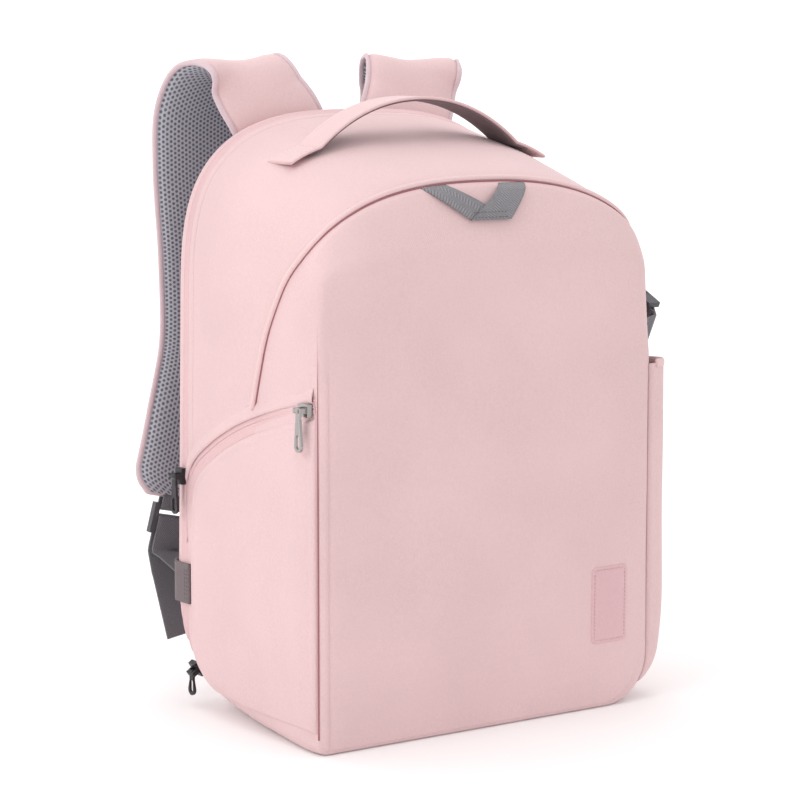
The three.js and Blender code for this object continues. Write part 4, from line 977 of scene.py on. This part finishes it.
bulge = pocket_bulge * np.clip(1 - np.abs(2 * pocket_u[:, None] - 1) ** 5, 0, 1) ** 0.2
bulge = bulge * np.sqrt(np.clip(1 - (1 - climb) ** 2, 0, 1))
pocket_plain = np.stack([wall, pocket_y, pocket_z], -1)
soft = ripple(pocket_plain, 31, 80, 1.4) - 0.6 * bell(pocket_z - 220, 1.0)
soft = np.clip(bulge / pocket_bulge, 0, 1) * soft
pocket_points = pocket_plain + np.stack([bulge + soft + 2.2, 0 * bulge, 0 * bulge], -1)
side_pocket = grids_to_piece("side_pocket", [(pocket_points, np.stack([pocket_y, pocket_z], -1))],
                             pink_polyester)
give_thickness(side_pocket, 1.8)
fit(side_pocket, "side_pocket_right")
hem = swept("side_pocket_hem", pocket_points[2:-2, -1] - (1.0, 0, 0), circle(1.5, 8) * (1.0, 2.2),
            pink_piping, (1.0, 0.0, 0.0))
fit(hem)


# Spacer mesh: a knitted grey face with round holes over a darker core. The holes are drawn at 0.3
# of the face's colour, the core's tone together with painted shade in them. Its holes are 3.6 mm
# apart and stand in for real ones of about 2.5 mm, which are too fine to show.
def spacer_mesh(name, hex_colour, pitch):
    """Holes on a hexagonal lattice of the pitch in mm: the sum of three cosines at 60 degrees to
    each other is 3 at each hole and -1.5 between three of them."""
    material, tree, shader = blank_material(name)
    uv = add_node(tree, "ShaderNodeUVMap", uv_map="cloth")
    total = None
    for angle in (0, math.pi / 3, 2 * math.pi / 3):
        turn = 4 * math.pi / (math.sqrt(3) * pitch * MM)
        dot = add_node(tree, "ShaderNodeVectorMath", [(uv.outputs[0], 0)], operation="DOT_PRODUCT",
                       i1=(turn * math.cos(angle), turn * math.sin(angle), 0.0))
        wave = add_node(tree, "ShaderNodeMath", [(dot.outputs["Value"], 0)], operation="COSINE")
        links = [(wave.outputs[0], 0)] + ([(total.outputs[0], 1)] if total else [])
        total = add_node(tree, "ShaderNodeMath", links, operation="ADD", i1=0.0)
    hole = add_node(tree, "ShaderNodeMapRange", [(total.outputs[0], 0)], i1=-0.3, i2=1.1)
    # Holes at 0.3 of the face's colour: the darker core, and painted shade in the holes.
    mixed = add_node(tree, "ShaderNodeMix", [(hole.outputs[0], 0)], data_type="RGBA",
                     i6=linear(hex_colour), i7=toned(hex_colour, 0.3))
    tree.links.new(mixed.outputs[2], shader.inputs["Base Color"])
    bump = add_node(tree, "ShaderNodeBump", [(hole.outputs[0], "Height")],
                    in_Strength=0.6, in_Distance=-0.8 * MM)
    tree.links.new(bump.outputs[0], shader.inputs["Normal"])
    shader.inputs["Roughness"].default_value = 0.8
    shader.inputs["Sheen Weight"].default_value = 0.1
    return material


grey_mesh = spacer_mesh("grey_spacer_mesh", "#adadb7", 3.6)
rose_binding = coated_cloth("rose_binding_tape", "#d9c3c8", thread=0.7)


def inflate(piece, cap, pressure, frames, held=None):
    """Swell a closed piece as stuffed cloth: Blender's cloth under inner pressure without gravity,
    with the given vertices held, each shift cut to the cap in millimetres, and kept as mesh."""
    mesh = piece.data
    start = np.empty(len(mesh.vertices) * 3)
    mesh.vertices.foreach_get("co", start)
    group = piece.vertex_groups.new(name="sewn")
    if held:
        group.add(np.flatnonzero(held(start.reshape(-1, 3) / MM)).tolist(), 1.0, "REPLACE")
    cloth = piece.modifiers.new("cloth", "CLOTH")
    cloth.settings.use_pressure = True
    cloth.settings.uniform_pressure_force = pressure
    cloth.settings.vertex_group_mass = "sewn"
    cloth.settings.effector_weights.gravity = 0
    for frame_number in range(1, frames + 1):
        bpy.context.scene.frame_set(frame_number)
    swollen = piece.evaluated_get(bpy.context.evaluated_depsgraph_get()).data
    end = np.empty(len(start))
    swollen.vertices.foreach_get("co", end)
    piece.modifiers.remove(cloth)
    piece.vertex_groups.remove(group)
    bpy.context.scene.frame_set(1)
    shift = (end - start).reshape(-1, 3)
    size = np.linalg.norm(shift, axis=1, keepdims=True)
    shift *= np.minimum(1, cap * MM / np.maximum(size, 1e-9))
    mesh.vertices.foreach_set("co", start + shift.ravel())
    mesh.update()


# Back pads: two foam pads under grey spacer mesh, sewn to the lid round their rims.
pad_x, pad_low, pad_high, pad_width, pad_corner, pad_thick = 59, 76, 372, 98, 24, 8
pad_middle, pad_channel = (pad_low + pad_high) / 2, 50
pad_plan, pad_in = pillow_plan(pad_width, pad_high - pad_low, pad_corner, 17, 200)
pad_up = pad_plan[..., 1]
pad_rise = (pad_thick - 1.5) * np.sqrt(1 - (1 - np.clip(pad_in / 16, 0, 1)) ** 2)
pad_groove = bell(pad_in - 12, 2.4) + sum(1.3 * bell(pad_up - at, 3) for at in (pad_channel, -pad_channel))
pad_z = pad_middle + pad_up
pad_y = back_reach - lean(pad_z) + 0.3 + np.clip(pad_rise * (1 - 0.22 * pad_groove), 0.2, None)
for side, name in ((-1, "left"), (1, "right")):
    pad_points = np.stack([side * pad_x + pad_plan[..., 0], pad_y, pad_z], -1)
    back_pad = grids_to_piece(f"back_pad_mesh_{name}", [(pad_points, pad_plan)], grey_mesh)

    def at_rim(point, middle=side * pad_x):
        """Vertices within 1.5 mm of the pad's sewn outline."""
        return nearest(point[:, 0] - middle, point[:, 2] - pad_middle, pad_plan[-1]) < 1.5

    inflate(back_pad, 1.4, 1.5, 12, at_rim)
    fit(back_pad, f"back_pad_{name}")


# Shoulder straps: foam between pink polyester outside and grey spacer mesh inside, with a pale
# binding round their edge. They are sewn to the lid, arch over and hang behind the bag.
strap_width, strap_thick, strap_middle, strap_reach = 80, 12, 90, 158
strap_sewn, strap_end, strap_crest, strap_rounding = 392, 148, 471, 22
strap_shares = np.array([
    (0.54, 0, 0, 1), (0.6, 0, 0.4, 1), (0.74, 0.1, 0.93, 0), (0.86, 0.32, 1.0, 0), (0.97, 0.66, 0.985, 0),
    (1.03, 0.9, 0.91, 0), (1.02, 1.0, 0.78, 0), (0.98, 0.99, 0.55, 0), (1.04, 0.84, 0.34, 0),
    (1.22, 0.74, 0.17, 0), (1.36, 0.8, 0, 0),
])
strap_low = np.where(strap_shares[:, 3] > 0, strap_sewn, strap_end)
strap_from = back_reach - back_lean + 0.8 + strap_thick / 2
strap_knots = np.stack([
    strap_shares[:, 0] * strap_middle,
    strap_from + (strap_reach - strap_from) * strap_shares[:, 1],
    strap_low + (strap_crest - strap_low) * strap_shares[:, 2],
], -1)
strap_curve = resample(spline(strap_knots, 600), 150)
strap_run = run_along(strap_curve)
strap_left = strap_run[-1] - strap_run
ending = np.sqrt(np.clip(1 - np.clip(1 - strap_left / strap_rounding, 0, 1) ** 2, 0.12, 1))
strap_half = strap_width / 2 * (0.5 + 0.5 * ending) - 1.5
swelling = np.clip(strap_run / 20, 0.35, 1) * (0.45 + 0.55 * np.clip(strap_left / 16, 0, 1))
strap_even = np.linspace(-1, 1, 25)
strap_u = np.sign(strap_even) * np.abs(strap_even) ** 1.6
strap_v = (strap_thick / 2 - 1.6) * (1 - np.abs(strap_u) ** 4) ** 0.6 + 1.2
strap_v = np.where(np.abs(strap_u) > 0.999, 0, strap_v)
strap_groove = 0.9 * bell((1 - np.abs(strap_u)) * strap_half[:, None] - 7, 1.3)
strap_box = np.argmin(np.abs(strap_left - 38))
for side, name in ((-1, "left"), (1, "right")):
    curve = strap_curve * (side, 1, 1)
    faces = []
    for facing in (-1, 1):
        depth = facing * (strap_v - strap_groove) * swelling[:, None]
        outline = np.stack([strap_u * strap_half[:, None], depth], -1)
        points, uv = along_path(curve, outline, (1.0, 0.0, 0.0))
        faces.append(closed_ends(points, uv))
    strap = grids_to_piece(f"strap_padding_{name}", faces, [pink_polyester, grey_mesh], 0.05)
    inflate(strap, 1.2, 1.0, 10)
    rim = np.concatenate([points[:, 0], points[::-1, -1]])
    binding = swept(f"strap_binding_{name}", resample(rim, 420), circle(1.9, 8) * (0.8, 1.35), rose_binding,
                    (0.0, 1.0, 0.2))
    inside = faces[0][0][1:-1]
    above, under = strap_box - 5, strap_box + 5
    a, b, c, d = [points[i, k] + 0.06 * (points[i, k] - inside[i, k])
                  for i, k in ((above, 7), (above, 17), (under, 17), (under, 7))]
    sew(f"strap_stitches_{name}", [(a, b), (b, c), (c, d), (d, a), (a, c), (b, d)], grey_thread)
    fit(strap, f"shoulder_strap_{name}")
    fit(binding)


# Ladder locks and their webbing: a short loop sewn in the strap's end holds each lock, and the
# adjusting strap runs from the bag's foot round the lock's middle bar to a free tail.
# The bars and the lock's lower edge are given in mm past the strap's end, and the webbing's middle
# lies one wrap from the middle of each bar.
strap_webbing = grey_webbing("dark_grey_webbing", "#747378", 1.8, 12.5)
wrap, upper_bar, lower_bar, lock_edge, lock_clear = 2.85, 9, 19, 33, 43
webbing_foot, webbing_sewn, tail_foot = np.array([108, 102.1, 55]), 16, 40


def fold_round(along, out, radius, back=False):
    """Half circle of webbing round a bar: its points ahead of the bar, or behind it."""
    angle = np.linspace(-math.pi / 2, math.pi / 2, 9)
    ahead = -radius if back else radius
    return np.stack([along + ahead * np.cos(angle), out + radius * np.sin(angle)], -1)


def webbing_band(name, path, across, material, width=25.0, thickness=1.6):
    """Flat webbing along a path in mm, with rounded edges and a row of points each 1.6 mm or so."""
    path = np.asarray(path, float)
    length = run_along(path)[-1]
    piece = swept(name, resample(path, max(round(length / 1.6), 12)),
                  slab(width, thickness, -thickness / 2, 0.7), material, across)
    fit(piece)
    return piece


for side, name in ((-1, "left"), (1, "right")):
    curve = strap_curve * (side, 1, 1)
    end, down = curve[-1], curve[-1] - curve[-3]
    down = down / np.linalg.norm(down)
    wide = np.array([1.0, 0, 0]) - down[0] * down
    wide = wide / np.linalg.norm(wide)
    out = np.cross(wide, down)

    def below_strap(line):
        """Points from mm along the strap past its end, and mm out of its middle."""
        return end + line[:, :1] * down + line[:, 1:] * out

    loop_line = np.concatenate([[(0.4, -wrap)], fold_round(upper_bar, 0, wrap), [(0.4, wrap)]])
    loop_band = webbing_band(f"strap_loop_webbing_{name}", below_strap(loop_line), wide, strap_webbing)
    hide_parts(f"strap_loop_{name}")
    in_lock = below_strap(np.concatenate([
        [(lock_clear, -wrap), (lock_edge, -wrap)],
        fold_round(lower_bar, 0, wrap, True),
        [(lock_edge, wrap), (lock_clear, wrap)],
    ]))
    inner, outer = in_lock[0], in_lock[-1]
    foot = webbing_foot * (side, 1, 1)
    sewn = foot + (0, 0, webbing_sewn)
    tail = np.array([outer[0] - side * 10, outer[1] - 10, tail_foot])
    band = np.concatenate([
        [foot, sewn, sewn + 0.08 * (inner - sewn), sewn + 0.5 * (inner - sewn)], in_lock,
        [outer + 0.25 * (tail - outer) + (0, 1.43, 0), tail],
    ])
    strap_band = webbing_band(f"adjusting_webbing_{name}", band, wide, strap_webbing)
    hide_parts(f"strap_webbing_{name}")


# Tripod strap on the right: webbing sewn into the pocket's mouth and the rear wall, joined by a
# side-release buckle that stays fastened.
tripod_tilt = math.radians(26)
tripod_at = np.array([150.0, -78.0, 272.0])
tripod_along = np.array([0.0, math.cos(tripod_tilt), math.sin(tripod_tilt)])
tripod_across = np.array([0.0, -math.sin(tripod_tilt), math.cos(tripod_tilt)])


def tripod_place(points):
    """Points from mm along the tripod strap and mm out from the bag."""
    points = np.asarray(points, float)
    return tripod_at + points[:, :1] * tripod_along + points[:, 1:] * (1.0, 0, 0)


def wall_out(along):
    """The right wall's place in mm out, at mm along the tripod strap."""
    place = tripod_at + along * tripod_along
    return left_wall(np.array([place[1]]), np.array([place[2]]), 0.0)[0][0] * -1 - tripod_at[0]


front_legs = np.concatenate([[(0, 1.1), (4, 1.1), (8, 7.35), (11, 16.8)],
                             fold_round(23.6, 21, 2.6)[::-1], [(15.8, 18.4)]])
rear_legs = np.concatenate([[(72.7, 18.4)], fold_round(59.7, 21, 2.6, True),
                            [(85.7, 23.6), (111.7, 16.8), (137.6, wall_out(144) + 3.15),
                             (144, wall_out(144) + 0.5), (160, wall_out(160) + 0.5)]])
for name, legs in (("front", front_legs), ("rear", rear_legs)):
    band = webbing_band(f"tripod_webbing_{name}", tripod_place(legs), tripod_across, strap_webbing)
    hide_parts(f"tripod_strap_{name}")


# Moulded buckles and locks of dark acetal, and cast zinc sliders and pulls. Their solids stay,
# with welded corners and a fine round on every edge.
def hard_surface(name, hex_colour, metallic, roughness, grain):
    """Even colour with a fine moulded or polished grain in its roughness and relief."""
    material, tree, shader = blank_material(name)
    place = add_node(tree, "ShaderNodeTexCoord")
    noise = add_node(tree, "ShaderNodeTexNoise", [(place.outputs["Object"], 0)], in_Scale=grain, in_Detail=3)
    spread = add_node(tree, "ShaderNodeMapRange", [(noise.outputs[0], 0)],
                      i3=roughness * 0.8, i4=roughness * 1.2)
    tree.links.new(spread.outputs[0], shader.inputs["Roughness"])
    bump = add_node(tree, "ShaderNodeBump", [(noise.outputs[0], "Height")],
                    in_Strength=0.15, in_Distance=0.08 * MM)
    tree.links.new(bump.outputs[0], shader.inputs["Normal"])
    shader.inputs["Base Color"].default_value = linear(hex_colour)
    shader.inputs["Metallic"].default_value = metallic
    return material


dark_acetal = hard_surface("dark_acetal", "#4a494e", 0.0, 0.45, 1500)
polished_zinc = hard_surface("polished_zinc", "#a5a2a0", 1.0, 0.2, 400)
lacquered_zinc = hard_surface("lacquered_zinc", "#343337", 0.6, 0.35, 700)


def round_edges(name, material, edge):
    """Give a solid of the frame its material, welded corners and edges rounded by mm."""
    piece = bpy.data.objects[name]
    piece.data.materials.clear()
    piece.data.materials.append(material)
    weld = piece.modifiers.new("weld", "WELD")
    weld.merge_threshold = 0.02 * MM
    bevel = piece.modifiers.new("bevel", "BEVEL")
    bevel.width, bevel.segments, bevel.limit_method = edge * MM, 2, "ANGLE"
    bevel.angle_limit = math.radians(35)


for name in ("tripod_buckle_socket", "tripod_buckle_plug", "strap_lock_left", "strap_lock_right"):
    round_edges(name, dark_acetal, 0.5)
for name in ("side_slider", "side_pull"):
    round_edges(name, polished_zinc, 0.25)
for name in ("back_slider", "back_pull", "foot_slider", "foot_pull"):
    round_edges(name, lacquered_zinc, 0.25)


# Dividers of the camera compartment: foam boards in blue-grey felt, held by hook tape. They and
# the felt laptop sleeve lie inside the closed bag.
def felt(name, hex_colour):
    """Felt: two noises of matted fibre, at 3 mm and 0.8 mm, in colour and relief."""
    material, tree, shader = blank_material(name)
    place = add_node(tree, "ShaderNodeTexCoord")
    mat = add_node(tree, "ShaderNodeTexNoise", [(place.outputs["Object"], 0)], in_Scale=330, in_Detail=4)
    fine = add_node(tree, "ShaderNodeTexNoise", [(place.outputs["Object"], 0)], in_Scale=1250, in_Detail=2)
    both = add_node(tree, "ShaderNodeMath", [(mat.outputs[0], 0), (fine.outputs[0], 1)], operation="MULTIPLY")
    mixed = add_node(tree, "ShaderNodeMix", [(both.outputs[0], 0)], data_type="RGBA",
                     i6=toned(hex_colour, 0.75), i7=linear(hex_colour))
    tree.links.new(mixed.outputs[2], shader.inputs["Base Color"])
    bump = add_node(tree, "ShaderNodeBump", [(both.outputs[0], "Height")],
                    in_Strength=0.4, in_Distance=0.4 * MM)
    tree.links.new(bump.outputs[0], shader.inputs["Normal"])
    shader.inputs["Roughness"].default_value = 0.95
    shader.inputs["Sheen Weight"].default_value = 0.25
    return material


grey_felt = felt("blue_grey_felt", "#8f949c")
dividers = ("upright", "shelf_left", "stub", "shelf_top", "shelf_middle", "side", "shelf_low", "foot")
for name in ["laptop_sleeve"] + [f"divider_{name}" for name in dividers]:
    round_edges(name, grey_felt, 1.0 if name == "laptop_sleeve" else 2.5)


low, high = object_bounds()
